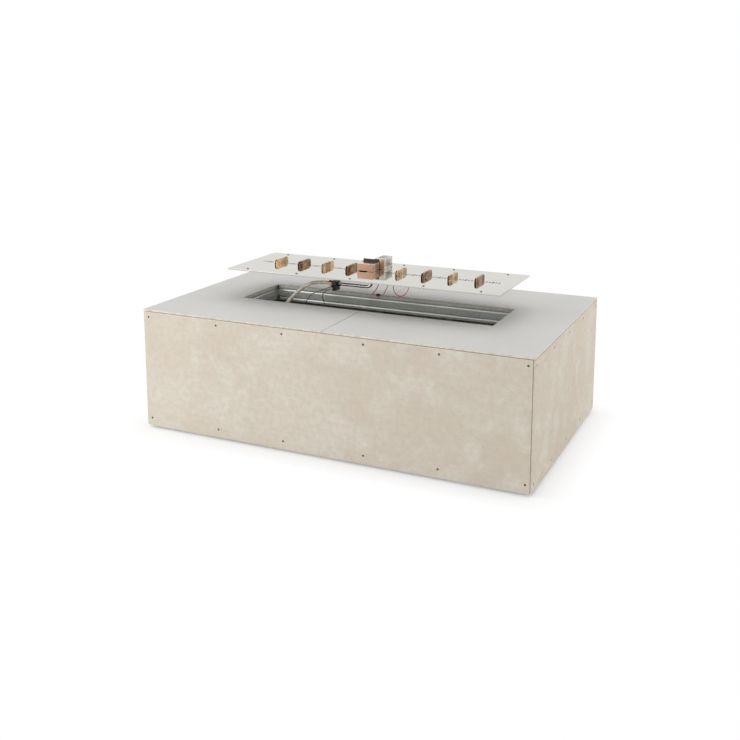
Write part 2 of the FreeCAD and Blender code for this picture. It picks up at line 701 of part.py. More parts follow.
def screw_holes(sheet, label, spots):
    """The board less its countersunk screw holes."""
    head, depth = size("screw_head_radius"), size("screw_head_depth")
    shank, through = size("screw_radius"), size("board") - size("screw_head_depth")
    shapes = []
    for place, inward in spots:
        sink = taper(place, inward, head, shank, depth, HOLE_SIDES)
        bore = bar(place + inward * depth, inward, shank, 2 * through, HOLE_SIDES)
        shapes.append(sink.fuse(bore).removeSplitter())
    return shapes_cut(sheet, label, shapes)


def board_screws():
    """Flush-headed screws through the boards into the studs and tracks."""
    head, depth = size("screw_head_radius"), size("screw_head_depth")
    shank, long = size("screw_radius"), size("screw_length")
    recess = size("slack")
    narrow = head - recess * (head - shank) / depth
    shapes = []
    walls = [long_wall_screws(-1), long_wall_screws(1), short_wall_screws(-1), short_wall_screws(1)]
    for place, inward in [spot for wall in walls for spot in wall]:
        start = place + inward * recess
        cone = taper(start, inward, narrow, shank, depth - recess, HOLE_SIDES)
        stem = bar(place + inward * depth, inward, shank, long - depth, HOLE_SIDES)
        shapes.append(cone.fuse(stem).removeSplitter())
    group("board_screws", shapes)


# Levelling feet

def levelling_feet():
    """Four screw feet: a moulded pad on a threaded stem that turns in a nut on the track."""
    for wall, side in (("front", -1), ("back", 1)):
        for hand, end in (("left", -1), ("right", 1)):
            label = "leveling_foot_%s_%s" % (wall, hand)
            pad_part = prism(label + "_pad", "foot_pad_radius", "foot_pad_tall", PAD_SIDES)
            stem = prism(label + "_stem", "foot_stem_radius", "foot_stem_tall", STEM_SIDES)
            bind(stem, Placement__Base__z="foot_pad_tall")
            foot = DOC.addObject("Part::Fuse", label + "_blank")
            foot.Base = pad_part
            foot.Tool = stem
            DOC.recompute()
            ease = size("foot_pad_ease")
            rim = []
            for number, edge in enumerate(foot.Shape.Edges, start=1):
                middle = edge.CenterOfMass
                on_top = abs(middle.z - size("foot_pad_tall")) < ease / 2
                if on_top and math.hypot(middle.x, middle.y) > size("foot_pad_radius") / 2:
                    rim.append((number, ease, ease))
            eased = DOC.addObject("Part::Chamfer", label)
            eased.Base = foot
            eased.Edges = rim
            at(eased, "%d * ( table_length / 2 - foot_inset )" % end,
               "%d * wall_middle_depth" % side)
            keep(eased, label)


def foot_nuts():
    """Hexagon nuts on the bottom tracks, one over each foot."""
    half_flats = size("foot_nut_flats") / 2
    bore = size("foot_stem_radius") + size("running_gap")
    shapes = []
    for side in (-1, 1):
        for end in (-1, 1):
            place = Vector(end * (size("table_length") / 2 - size("foot_inset")),
                           side * size("wall_middle_depth"), size("track_base") + size("steel"))
            shapes.append(hexagon(place, Z, half_flats, size("foot_nut_tall"), bore))
    group("foot_nuts", shapes)


def hexagon(place, axis, half_flats, length, bore):
    """A hexagon bar with a hole, along an axis."""
    corner = 2 * half_flats / math.sqrt(3)
    outside = bar(place, axis, corner, length, NUT_SIDES)
    return outside.cut(bar(place, axis, bore, length, STEM_SIDES))


# Burner plate

def plate_screw_places():
    """Centres of the ten plate screws: two rows along the long edges."""
    row = size("plate_screw_offset")
    spots = []
    for side, middle in ((-1, "plate_screw_front"), (1, "plate_screw_back")):
        spots.append((size(middle), side * row))
        for reach in ("plate_screw_near", "plate_screw_far"):
            spots.append((-size(reach), side * row))
            spots.append((size(reach), side * row))
    return spots


def plate_drill(label, x, y, low, tall):
    """A clearance hole for one plate screw in what lies under the seated plate."""
    drill = prism("%s_drill" % label, "plate_hole", tall, HOLE_SIDES)
    drill.Placement.Base = Vector(x, y, 0)
    bind(drill, Placement__Base__z=low)
    return drill


def burner_plate():
    """Stainless sheet with a turned-down rim, a row of gas jets and two rows of screw holes."""
    body = block("plate_blank", "plate_length", "plate_depth", "plate_rim")
    at(body, "0", "0", "plate_seat")
    inside = new_sketch(body, "plate_inside")
    rectangle(inside, "plate_length - 2 * plate_steel", "plate_depth - 2 * plate_steel")
    pocket(body, inside, "plate_rim - plate_steel", "Inside", upward=True)
    low, through = size("plate_top") - 2 * size("plate_steel"), 3 * size("plate_steel")
    shapes = []
    for x, y in plate_screw_places():
        shapes.append(bar(Vector(x, y, low), Z, size("screw_radius") + size("slack"), through, HOLE_SIDES))
    x, y = electrode_place()
    ceramic = size("electrode_radius") + size("slack")
    shapes.append(bar(Vector(x, y, low), Z, ceramic, through, STEM_SIDES))
    long, wide = size("jet_slot_length"), size("jet_slot_width")
    for middle in jet_places():
        corner = Vector(middle - wide / 2, -long / 2, low)
        shapes.append(Part.makeBox(wide, long, through, corner))
        for step in (-2, -1, 1, 2):
            place = Vector(middle + step * size("jet_hole_pitch"), 0, low)
            shapes.append(bar(place, Z, size("jet_hole"), through, JET_SIDES))
    keep(shapes_cut(body, "burner_plate", shapes), "burner_plate")


def jet_places():
    """Middles of the gas slots: half way between tabs, and one past each end tab."""
    pitch = size("tab_pitch")
    return [side * (number + 0.5) * pitch for side in (-1, 1) for number in range(5)]


def gas_chamber():
    """Long folded trough welded under the plate, which feeds the jets."""
    sheet, depth = size("chamber_steel"), size("chamber_depth")
    half, flange = size("chamber_width") / 2, size("chamber_flange")
    section = [(-half - flange, depth), (-half - flange, depth - sheet), (-half, depth - sheet),
               (-half, 0), (half, 0), (half, depth - sheet), (half + flange, depth - sheet),
               (half + flange, depth), (half - sheet, depth), (half - sheet, sheet),
               (-half + sheet, sheet), (-half + sheet, depth)]
    body = new_body("chamber_trough")
    face = new_sketch(body, "chamber_section")
    outline(face, section)
    pad(body, face, "chamber_length")
    at(body, "chamber_length / -2", "0", "chamber_under", x_axis=Y, y_axis=Z)
    ends = []
    for side in (-1, 1):
        cap = block("chamber_end_%d" % (side + 1), "chamber_steel",
                    "chamber_width - 2 * chamber_steel", "chamber_depth - chamber_steel")
        at(cap, "%d * ( chamber_length / 2 - chamber_steel / 2 )" % side, "0",
           "chamber_under + chamber_steel")
        ends.append(cap)
    joined = DOC.addObject("Part::MultiFuse", "chamber_blank")
    joined.Shapes = [body] + ends
    inlet = prism("chamber_inlet", "feed_bore", "3 * chamber_steel", STEM_SIDES)
    at(inlet, "feed_right - feed_radius", "gas_line_offset", "chamber_under - chamber_steel")
    keep(holes_cut(joined, "burner_chamber", [inlet]), "burner_chamber")


def flame_tabs():
    """Eight folded tabs stand across the row of jets, evenly spaced but for the igniter's place."""
    number = 0
    for side in (-1, 1):
        steps = (4, 3, 2, 1) if side < 0 else (1, 2, 3, 4)
        for step in steps:
            number += 1
            label = "flame_tab_%d" % number
            body = new_body(label)
            face = new_sketch(body, label + "_face")
            outline(face, tab_shape())
            pad(body, face, "tab_width")
            hollow = new_sketch(body, label + "_hollow", lift="tab_steel", shift_y="-1 * tab_steel")
            rectangle(hollow, "tab_length * 2", "tab_tall")
            pocket(body, hollow, "tab_width - 2 * tab_steel", "Fold", upward=True)
            holes = new_sketch(body, label + "_holes", lift="tab_width",
                               shift_y="tab_hole_high - tab_tall / 2")
            pitch, radius = size("tab_hole_pitch"), size("tab_hole")
            outline(holes, around(-pitch, 0, radius, HOLE_SIDES), around(pitch, 0, radius, HOLE_SIDES))
            pocket(body, holes, "2 * tab_width", "Holes")
            at(body, "%d * %d * tab_pitch - tab_width / 2" % (side, step), "0",
               "plate_top + tab_tall / 2", x_axis=Y, y_axis=Z)
            keep(body, label)


def tab_shape():
    """A tab's face seen from its side: square feet and two rounded upper corners."""
    half_long, half_tall, corner = size("tab_length") / 2, size("tab_tall") / 2, size("tab_corner")
    points = [(-half_long, -half_tall), (half_long, -half_tall)]
    for number in range(TAB_CHORDS + 1):
        angle = math.pi / 2 * number / TAB_CHORDS
        points.append((half_long - corner + corner * math.cos(angle),
                       half_tall - corner + corner * math.sin(angle)))
    return points + [(-x, y) for x, y in reversed(points[2:])]


# Igniter on top of the plate

def ignition_hood():
    """Bent box over the pilot flame, open underneath and slotted along its front foot."""
    body = block("hood_blank", "hood_length", "hood_depth", "hood_tall")
    inside = new_sketch(body, "hood_inside")
    rectangle(inside, "hood_length - 2 * hood_steel", "hood_depth - 2 * hood_steel")
    pocket(body, inside, "hood_tall - hood_steel", "Inside", upward=True)
    slot = new_sketch(body, "hood_slot_face", shift_y="hood_depth / -2", shift_x="hood_slot_shift")
    rectangle(slot, "hood_slot_length", "4 * hood_steel")
    pocket(body, slot, "hood_slot", "Slot", upward=True)
    at(body, "hood_left + hood_length / 2", "hood_front + hood_depth / 2", "plate_top")
    keep(body, "ignition_hood")


def hood_deflector():
    """Dark strip bent up along the back edge of the hood's roof."""
    sheet, foot, tall = size("hood_steel"), size("deflector_foot"), size("deflector_tall")
    body = new_body("hood_deflector")
    face = new_sketch(body, "deflector_section")
    outline(face, [(0, 0), (foot, 0), (foot, tall), (foot - sheet, tall), (foot - sheet, sheet), (0, sheet)])
    pad(body, face, "deflector_length")
    at(body, "hood_left + hood_steel", "hood_front + hood_depth - deflector_foot",
       "plate_top + hood_tall", x_axis=Y, y_axis=Z)
    keep(body, "hood_deflector")


def igniter_cage():
    """Slotted guard round the spark electrode, open underneath."""
    body = block("cage_blank", "cage_length", "cage_depth", "cage_tall")
    inside = new_sketch(body, "cage_inside")
    rectangle(inside, "cage_length - 2 * hood_steel", "cage_depth - 2 * hood_steel")
    pocket(body, inside, "cage_tall - hood_steel", "Inside", upward=True)
    at(body, "cage_left + cage_length / 2", "hood_front + hood_depth + cage_gap + cage_depth / 2",
       "plate_top")
    x, y = size("cage_left"), size("hood_front") + size("hood_depth") + size("cage_gap")
    floor, sheet = size("plate_top"), size("hood_steel")
    slot, tall, frame = size("cage_slot"), size("cage_tall"), size("cage_border")
    rows = int((size("cage_depth") - 2 * frame) / size("cage_slot_pitch"))
    spacing = (size("cage_depth") - 2 * frame) / rows
    shapes = []
    for row in range(rows):
        near = y + frame + (row + 0.5) * spacing - slot / 2
        roof = Vector(x + frame, near, floor + tall - 2 * sheet)
        shapes.append(Part.makeBox(size("cage_length") - 2 * frame, slot, 3 * sheet, roof))
        walls = Vector(x - sheet, near, floor + frame)
        shapes.append(Part.makeBox(size("cage_length") + 2 * sheet, slot, tall - 2 * frame, walls))
    keep(shapes_cut(body, "igniter_cage", shapes), "igniter_cage")


def electrode_place():
    """The electrode stands half way back in its cage, towards the hood's side."""
    x = size("cage_left") + size("cage_length") / 4
    y = size("hood_front") + size("hood_depth") + size("cage_gap") + size("cage_depth") / 2
    return x, y


def spark_electrode():
    """Ceramic insulator through the plate, with a thin pin that ends in a spark tip."""
    ceramic, pin = size("electrode_radius"), size("electrode_pin")
    x, y = electrode_place()
    low, high = size("chamber_under"), size("plate_top")
    tail, shoulder, tip = 2 * pin, size("electrode_tail"), size("electrode_tip")
    steps = [(tail, low), (tail, low + shoulder), (ceramic, low + shoulder),
             (ceramic, high + tip / 2), (pin, high + tip / 2), (pin, high + tip)]
    shape = None
    for (radius, start), (_, end) in zip(steps[::2], steps[1::2]):
        piece = bar(Vector(x, y, start), Z, radius, end - start, STEM_SIDES)
        shape = shape.fuse(piece) if shape else piece
    electrode = DOC.addObject("Part::Feature", "spark_electrode")
    electrode.Shape = shape.removeSplitter()
    keep(electrode, "spark_electrode")


# Gas line under the plate

def gas_valve():
    """Black electric valve hung under its bracket: the coil's cap, a neck and a cast body."""
    half_long, half_wide, corner = size("valve_length") / 2, size("valve_depth") / 2, size("valve_corner")
    cast, neck = size("valve_cast_tall"), size("valve_neck_tall")
    cap = size("valve_above") + size("valve_below") - cast - neck
    stages = []
    for inset, tall in ((size("valve_cap_inset"), cap), (size("valve_neck_inset"), neck), (0, cast)):
        stages.append((half_long - inset, half_wide - inset, corner, tall))
    middle = Vector(size("valve_left") + half_long, size("gas_line_offset"),
                    size("gas_line") - size("valve_below"))
    valve = DOC.addObject("Part::Feature", "gas_valve")
    valve.Shape = stack(middle, stages)
    keep(valve, "gas_valve")


def feed_tube():
    """Bright tube that turns up into the middle of the chamber, with a nut at the valve."""
    line, offset, bend = size("gas_line"), size("gas_line_offset"), size("feed_bend")
    start = Vector(size("valve_left") + size("valve_length"), offset, line)
    rise = size("feed_right") - size("feed_radius")
    corner = Vector(rise, offset, line)
    end = Vector(rise, offset, size("chamber_under"))
    path = rounded_path([start, corner, end], [bend])
    outer = swept(path, size("feed_radius"), STEM_SIDES, FEED_TURN)
    inner = swept(path, size("feed_bore"), STEM_SIDES, FEED_TURN)
    nut = bar(start, X, size("feed_nut_flats") / math.sqrt(3), size("feed_nut_length"), NUT_SIDES)
    tube = DOC.addObject("Part::Feature", "gas_feed_tube")
    tube.Shape = outer.fuse(nut).cut(inner).removeSplitter()
    keep(tube, "gas_feed_tube")


def flare_nut():
    """Copper-coloured hexagon nut that joins the hose to the valve."""
    nut = DOC.addObject("Part::Feature", "flare_nut")
    place = Vector(size("valve_left") - size("flare_length"), size("gas_line_offset"), size("gas_line"))
    hexagon_part = hexagon(place, X, size("flare_flats") / 2, size("flare_length"), size("feed_bore"))
    nut.Shape = hexagon_part
    keep(nut, "flare_nut")


def valve_bracket():
    """Z-shaped strip: upper leg under the chamber, lower leg on the valve."""
    sheet = size("chamber_steel")
    drop = size("chamber_under") - size("valve_top")
    reach = size("valve_depth") / 2 - size("bracket_inset")
    section = [(-reach, 0), (sheet, 0), (sheet, drop - sheet), (reach, drop - sheet), (reach, drop),
               (0, drop), (0, sheet), (-reach, sheet)]
    body = new_body("valve_bracket")
    face = new_sketch(body, "bracket_section")
    outline(face, section)
    pad(body, face, "bracket_right - valve_left")
    at(body, "valve_left", "gas_line_offset", "valve_top", x_axis=Y, y_axis=Z)
    keep(body, "valve_bracket")


def plate_screws():
    """Pan-headed screws that hold the seated plate, carried in its holes."""
    head, crown, tall = size("plate_screw_head"), size("plate_screw_crown"), size("plate_screw_head_tall")
    top, drop, shank = size("plate_top"), size("plate_screw_drop"), size("screw_radius")
    shapes = []
    for x, y in plate_screw_places():
        disc = taper(Vector(x, y, top), Z, head, crown, tall, HOLE_SIDES)
        stem = bar(Vector(x, y, top - drop), Z, shank, drop, HOLE_SIDES)
        shapes.append(disc.fuse(stem).removeSplitter())
    group("plate_screws", shapes)


# Gas inlet and ignition module inside the table

def inlet_hanger():
    """Bent strip hung under the left joist, with a shelf that carries the gas inlet."""
    sheet = size("hanger_steel")
    face = size("liner_half_length")
    joist_under = size("board_under") - size("web")
    shelf = size("inlet_shelf")
    reach = face + size("inlet_at_length") + 2 * size("inlet_body_radius")
    foot = size("flange") - size("lip")
    tall = joist_under - shelf
    section = [(0, 0), (reach, 0), (reach, -sheet), (-sheet, -sheet), (-sheet, tall - sheet),
               (-foot, tall - sheet), (-foot, tall), (0, tall)]
    body = new_body("hanger_strip")
    sketch = new_sketch(body, "hanger_section")
    outline(sketch, section)
    pad(body, sketch, "hanger_width")
    at(body, "-1 * liner_half_length", "inlet_at_depth + hanger_width / 2", "inlet_shelf",
       x_axis=X, y_axis=Z)
    hole = prism("hanger_hole", "inlet_thread_radius + 2 * slack", "4 * hanger_steel", PAD_SIDES)
    at(hole, "inlet_at_length", "inlet_at_depth", "inlet_shelf - 2 * hanger_steel")
    keep(holes_cut(body, "gas_inlet_hanger", [hole]), "gas_inlet_hanger")


def inlet_fitting():
    """Brass union through the shelf: collar and hose seat above, neck and threaded end below."""
    collar = prism("inlet_collar", "inlet_body_radius", "inlet_body_tall", NUT_SIDES)
    neck = prism("inlet_neck", "inlet_neck_radius", "inlet_neck_length", STEM_SIDES)
    bind(neck, Placement__Base__z="-1 * inlet_neck_length")
    thread = cylinder("inlet_thread", "inlet_thread_radius", "inlet_thread_length")
    bind(thread, Placement__Base__z="-1 * ( inlet_neck_length + inlet_thread_length )")
    blank = DOC.addObject("Part::MultiFuse", "inlet_blank")
    blank.Shapes = [collar, neck, thread]
    bore = prism("inlet_bore", "feed_bore", "2 * ( inlet_body_tall + inlet_thread_length )", STEM_SIDES)
    bind(bore, Placement__Base__z="-1 * ( inlet_body_tall + inlet_thread_length )")
    fitting = DOC.addObject("Part::Cut", "gas_inlet_fitting")
    fitting.Base = blank
    fitting.Tool = bore
    at(fitting, "inlet_at_length", "inlet_at_depth", "inlet_shelf")
    keep(fitting, "gas_inlet_fitting")


def ignition_module():
    """Closed electronics box on a shelf behind the front header: a case, a groove and a lid."""
    half_long, half_wide, corner = size("module_length") / 2, size("module_depth") / 2, size("module_corner")
    lid, seam = size("module_lid"), size("module_seam")
    stages = []
    for inset, tall in ((0, size("module_tall") - lid - seam), (seam, seam), (0, lid)):
        stages.append((half_long - inset, half_wide - inset, corner, tall))
    module = DOC.addObject("Part::Feature", "ignition_module")
    module.Shape = stack(Vector(size("module_left") + half_long, module_row(), size("module_floor")), stages)
    keep(module, "ignition_module")


def module_row():
    """Middle of the ignition module along Y: it stands against its bracket's upright leg."""
    return size("hanger_steel") + size("slack") + size("module_depth") / 2 - size("liner_half_depth")


def module_bracket():
    """Bent shelf: its upright leg lies on the front header, its lower leg carries the module."""
    sheet = size("hanger_steel")
    tall = size("board_under") - size("web") / 2 - size("module_floor")
    reach = size("module_depth") + 2 * sheet
    body = new_body("module_bracket")
    sketch = new_sketch(body, "shelf_section")
    outline(sketch, [(0, -sheet), (reach, -sheet), (reach, 0), (sheet, 0), (sheet, tall), (0, tall)])
    pad(body, sketch, "module_length")
    at(body, "module_left", "-1 * liner_half_depth", "module_floor", x_axis=Y, y_axis=Z)
    keep(body, "module_bracket")


# Hose and wires

def rounded_path(points, radii):
    """Straight runs joined by tangent arcs of the given radii."""
    edges = []
    last = points[0]
    for number in range(1, len(points) - 1):
        corner = points[number]
        before = (points[number - 1] - corner).normalize()
        after = (points[number + 1] - corner).normalize()
        half_turn = (math.pi - before.getAngle(after)) / 2
        radius = radii[number - 1]
        back = radius * math.tan(half_turn)
        start, end = corner + before * back, corner + after * back
        inward = (before + after).normalize()
        middle = corner + inward * (radius / math.cos(half_turn) - radius)
        edges.append(Part.LineSegment(last, start).toShape())
        edges.append(Part.Arc(start, middle, end).toShape())
        last = end
    edges.append(Part.LineSegment(last, points[-1]).toShape())
    return Part.Wire(edges)


def chords(path, most):
    """The path with each arc as mitred chords, none of which turns by more than this angle."""
    points = []
    for edge in path.Edges:
        turn = edge.tangentAt(edge.FirstParameter).getAngle(edge.tangentAt(edge.LastParameter))
        points += edge.discretize(math.ceil(turn / most + 0.5) + 1)[:-1]
    return Part.makePolygon(points + [path.Edges[-1].Vertexes[-1].Point])


def swept(path, radius, sides, most_turn):
    """A many-sided bar along the path."""
    run = chords(path, most_turn)
    first = run.Edges[0]
    along = first.tangentAt(first.FirstParameter)
    section = Part.makePolygon(ring(first.Vertexes[0].Point, along, radius, sides))
    return run.makePipeShell([section], True, False, 1)


def cord(label, spots, radius, sides=WIRE_SIDES):
    """A free cord through its points, each bend as large as its two runs allow."""
    radii = []
    for number in range(1, len(spots) - 1):
        before, after = spots[number] - spots[number - 1], spots[number + 1] - spots[number]
        turn = before.getAngle(after)
        radii.append(0.45 * min(before.Length, after.Length) / math.tan(turn / 2))
    path = rounded_path(spots, radii)
    tube = swept(path, radius, sides, WIRE_TURN)
    piece = DOC.addObject("Part::Feature", label)
    piece.Shape = tube
    expected = sides / 2 * math.sin(2 * math.pi / sides) * radius ** 2 * path.Length
    print("%s: length %.1f mm, radii %s, least %.1f diameters, volume %.4f of section times length"
          % (label, path.Length, " ".join("%.0f" % r for r in radii), min(radii) / (2 * radius),
             tube.Volume / expected))
    return keep(piece, label)


def routed(first, last, route):
    """A cord's points: its two ends, and between them the rows of its route."""
    run = last - first
    return [first] + [first + run * share + Vector(*shift) for share, *shift in route] + [last]


def hose_and_wires():
    """The hose and the two control wires cross from the table to the lifted burner."""
    line, offset = size("gas_line"), size("gas_line_offset")
    start = Vector(size("valve_left") - size("flare_length") - size("slack"), offset, line)
    seat = Vector(size("inlet_at_length"), size("inlet_at_depth"),
                  size("inlet_shelf") + size("inlet_body_tall"))
    cord("gas_hose", routed(start, seat, HOSE_ROUTE), size("hose_radius"), HOSE_SIDES)
    front = offset - size("valve_depth") / 2 - size("slack")
    posts = module_row() + size("module_depth") / 2 - size("wire_post_inset")
    for hand, route in (("left", LEFT_WIRE_ROUTE), ("right", RIGHT_WIRE_ROUTE)):
        entry = Vector(size("valve_left") + size("wire_inset_" + hand), front,
                       line - size("wire_drop"))
        post = Vector(size("module_left") + size("wire_post_" + hand), posts,
                      size("module_floor") + size("module_tall"))
        cord("control_wire_" + hand, routed(entry, post, route), size("wire_radius"))


def leads():
    """Three leads hang in loops under the plate, two of them joined by a connector."""
    under, radius = size("chamber_under"), size("wire_radius")
    half, tall = size("connector_length") / 2, size("connector_tall")
    joint = Vector(size("connector_at_length"), size("gas_line_offset"), under - size("connector_drop"))
    spark = Vector(*electrode_place(), under)
    cord("spark_lead", routed(spark, joint - X * half, SPARK_ROUTE), radius)
    ground = Vector(size("return_end_length"), size("return_end_depth"), under)
    cord("return_lead", routed(joint + X * half, ground, RETURN_ROUTE), radius)
    first = Vector(size("sensor_start_length"), size("sensor_start_depth"), under)
    last = Vector(size("sensor_end_length"), size("sensor_end_depth"), under)
    cord("sensor_lead", routed(first, last, SENSOR_ROUTE), radius)
    plug = DOC.addObject("Part::Feature", "lead_connector")
    plug.Shape = Part.makeBox(2 * half, tall, tall, joint - Vector(half, tall / 2, tall / 2))
    keep(plug, "lead_connector")


# Build

def build():
    side_boards()
    top_boards()
    tracks()
    wall_studs()
    opening_frame()
    clip_angles()
    board_screws()
    levelling_feet()
    foot_nuts()
    burner_plate()
    gas_chamber()
    flame_tabs()
    ignition_hood()
    hood_deflector()
    igniter_cage()
    spark_electrode()
    gas_valve()
    feed_tube()
    flare_nut()
    valve_bracket()
    plate_screws()
    inlet_hanger()
    inlet_fitting()
    ignition_module()
    module_bracket()
    hose_and_wires()
    leads()
    DOC.recompute()


def check():
    """Stops if any object failed to build, or if a piece isn't a set of sound solids."""
    for thing in DOC.Objects:
        if "Invalid" in thing.State or "Error" in thing.State:
            raise RuntimeError("failed: %s %s" % (thing.Name, thing.State))
    for piece in PARTS:
        shape = piece.Shape
        if shape.isNull() or not shape.isValid() or not shape.Solids:
            raise RuntimeError("not a solid: " + piece.Label)


def write():
    os.makedirs("parts", exist_ok=True)
    for piece in PARTS:
        piece.Shape.exportStep("parts/%s.step" % piece.Label)
    print("%d pieces, %d solids" % (len(PARTS), sum(len(p.Shape.Solids) for p in PARTS)))


build()
check()
write()
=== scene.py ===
# %% [markdown]
# # A gas fire pit table, ready to be clad
#
# The real object is a box of thin cement boards on a galvanised stud frame. Its owner tiles it.
# The burner is lifted straight out of its opening, so the hose, the wires and the ribbed steel
# round the opening show. The construction is loaded as a fixed frame, and this lesson gives it
# its finishes and its small detail.

# %% Load the frame
import math

import bmesh
import bpy
from mathutils import Matrix, Vector


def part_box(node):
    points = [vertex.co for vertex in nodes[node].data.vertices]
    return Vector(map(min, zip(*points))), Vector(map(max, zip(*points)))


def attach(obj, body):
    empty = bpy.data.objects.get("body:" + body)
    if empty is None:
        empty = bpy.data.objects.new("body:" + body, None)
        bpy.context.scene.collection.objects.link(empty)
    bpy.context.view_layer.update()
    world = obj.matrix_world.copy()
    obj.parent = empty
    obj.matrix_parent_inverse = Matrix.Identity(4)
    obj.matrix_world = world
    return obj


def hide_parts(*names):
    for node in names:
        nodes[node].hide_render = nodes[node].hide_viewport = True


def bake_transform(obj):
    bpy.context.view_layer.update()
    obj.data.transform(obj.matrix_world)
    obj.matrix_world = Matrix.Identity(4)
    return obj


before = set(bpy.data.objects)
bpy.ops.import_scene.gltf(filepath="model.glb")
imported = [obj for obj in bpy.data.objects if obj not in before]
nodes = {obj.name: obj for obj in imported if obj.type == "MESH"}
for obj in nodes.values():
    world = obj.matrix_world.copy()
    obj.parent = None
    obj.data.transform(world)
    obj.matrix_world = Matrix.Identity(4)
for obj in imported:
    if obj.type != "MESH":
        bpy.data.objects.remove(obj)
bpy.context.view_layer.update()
MM = 0.001

# %% [markdown]
# ## The camera
#
# The table stands turned, so two sides show. The place and lens come from solving the box's
# edges. Part of the look down is lens shift, which leaves upright edges straighter than a
# stronger tilt would.

# %% Camera
def add_object(name, data):
    """Puts an object with this data into the scene."""
    made = bpy.data.objects.new(name, data)
    bpy.context.scene.collection.objects.link(made)
    return made


def aim(thing, at, target):
    """Places a camera or a lamp and turns it towards a point."""
    thing.location = at
    thing.rotation_euler = (Vector(target) - Vector(at)).to_track_quat("-Z", "Y").to_euler()


CAMERA_AT = Vector((1.53458, -3.36371, 1.36641))
CAMERA_AIM = Vector((0.18670, -0.45720, 0.80550))
LENS_MM, SENSOR_MM, SHIFT_Y = 47.453, 36.0, -0.17568

camera_data = bpy.data.cameras.new("table_camera")
camera_data.lens = LENS_MM
camera_data.sensor_width = SENSOR_MM
camera_data.shift_y = SHIFT_Y
camera = add_object("table_camera", camera_data)
aim(camera, CAMERA_AT, CAMERA_AIM)
bpy.context.scene.camera = camera
bpy.context.scene.view_settings.view_transform = "Standard"
print("camera looks along", tuple(round(v, 3) for v in (CAMERA_AIM - CAMERA_AT).normalized()))

# %% [markdown]
# ## Hose and wires
#
# A hose keeps its length and bends in wide curves. A smooth spline, led by a few given points,
# gives that, and a round section swept along it gives the tube. The hose and the two black wires
# cross from the table to the lifted burner, so each is drawn as one fixed mesh between the two.
# The red leads hang under the burner and stay with it.

# %% The line of a cord
def cord_line(points):
    """The smooth line of a cord: a spline with the route's points, as many short steps."""
    data = bpy.data.curves.new("line", "CURVE")
    data.dimensions = "3D"
    data.resolution_u = 12
    spline = data.splines.new("NURBS")
    spline.points.add(len(points) - 1)
    for knot, place in zip(spline.points, points):
        knot.co = (place[0] * MM, place[1] * MM, place[2] * MM, 1.0)
    spline.order_u = 3
    spline.use_endpoint_u = True
    carrier = bpy.data.objects.new("line", data)
    mesh = bpy.data.meshes.new_from_object(carrier)
    line = [vertex.co.copy() for vertex in mesh.vertices]
    bpy.data.objects.remove(carrier)
    bpy.data.curves.remove(data)
    bpy.data.meshes.remove(mesh)
    return line


def line_length(line):
    """The length along a line."""
    return sum((b - a).length for a, b in zip(line, line[1:]))


# %% Rings of points
def circle(sides):
    """The angles of evenly spaced points round a circle."""
    return [2 * math.pi * step / sides for step in range(sides)]


def join_rings(made, rings):
    """Lays faces between neighbouring rings of points. A ring of one point is a tip."""
    for low, high in zip(rings, rings[1:]):
        sides = max(len(low), len(high))
        for step in range(sides):
            after = (step + 1) % sides
            if len(low) == 1:
                made.faces.new((low[0], high[after], high[step]))
            elif len(high) == 1:
                made.faces.new((low[step], low[after], high[0]))
            else:
                made.faces.new((low[step], low[after], high[after], high[step]))


def close_ends(made, rings):
    """Closes the first and the last ring by a face, unless it is a tip."""
    if len(rings[0]) > 1:
        made.faces.new(list(reversed(rings[0])))
    if len(rings[-1]) > 1:
        made.faces.new(rings[-1])


# %% A tube along a line
def to_mesh(name, made):
    """Turns a work mesh into mesh data and frees it."""
    mesh = bpy.data.meshes.new(name)
    made.to_mesh(mesh)
    made.free()
    return mesh


def tube_mesh(name, line, radius, sides):
    """A closed round tube along a line."""
    made = bmesh.new()
    rings = []
    side = (line[1] - line[0]).orthogonal().normalized()
    for index, place in enumerate(line):
        along = (line[min(index + 1, len(line) - 1)] - line[max(index - 1, 0)]).normalized()
        side = (side - along * side.dot(along)).normalized()
        across = along.cross(side)
        spokes = [side * math.cos(turn) + across * math.sin(turn) for turn in circle(sides)]
        rings.append([made.verts.new(place + spoke * radius) for spoke in spokes])
    join_rings(made, rings)
    close_ends(made, rings)
    mesh = to_mesh(name, made)
    for face in mesh.polygons:
        face.use_smooth = len(face.vertices) == 4
    return add_object(name, mesh)


# %% The routes
GAS_Y, GAS_LINE = -20.0, 537.0
VALVE_FACE, WIRE_LEVEL = -40.3, 531
CHAMBER_UNDER = 568.4
MODULE_Y, MODULE_TOP = -81, 370.0

HOSE_ROUTE = [(-192.3, GAS_Y, GAS_LINE), (-246, GAS_Y, GAS_LINE), (-300, -22, 517),
              (-346, -22, 478), (-392, -18, 430), (-430, -8, 372), (-455, 4, 306),
              (-462, 12, 234), (-462, 12, 166)]
LEFT_WIRE_ROUTE = [(-167, VALVE_FACE, WIRE_LEVEL), (-167, VALVE_FACE - 12, WIRE_LEVEL),
                   (-180, -63, 526), (-200, -62, 515), (-228, -56, 506), (-256, -57, 491),
                   (-274, -60, 466), (-281, -66, 436), (-277, -76, 408), (-270, MODULE_Y, 390),
                   (-270, MODULE_Y, MODULE_TOP)]
RIGHT_WIRE_ROUTE = [(-159, VALVE_FACE, WIRE_LEVEL), (-159, VALVE_FACE - 12, WIRE_LEVEL),
                    (-168, -66, 524), (-186, -72, 513), (-200, -70, 497), (-196, -68, 476),
                    (-182, -70, 454), (-170, -74, 430), (-167, -78, 406), (-172, MODULE_Y, 388),
                    (-172, MODULE_Y, MODULE_TOP)]
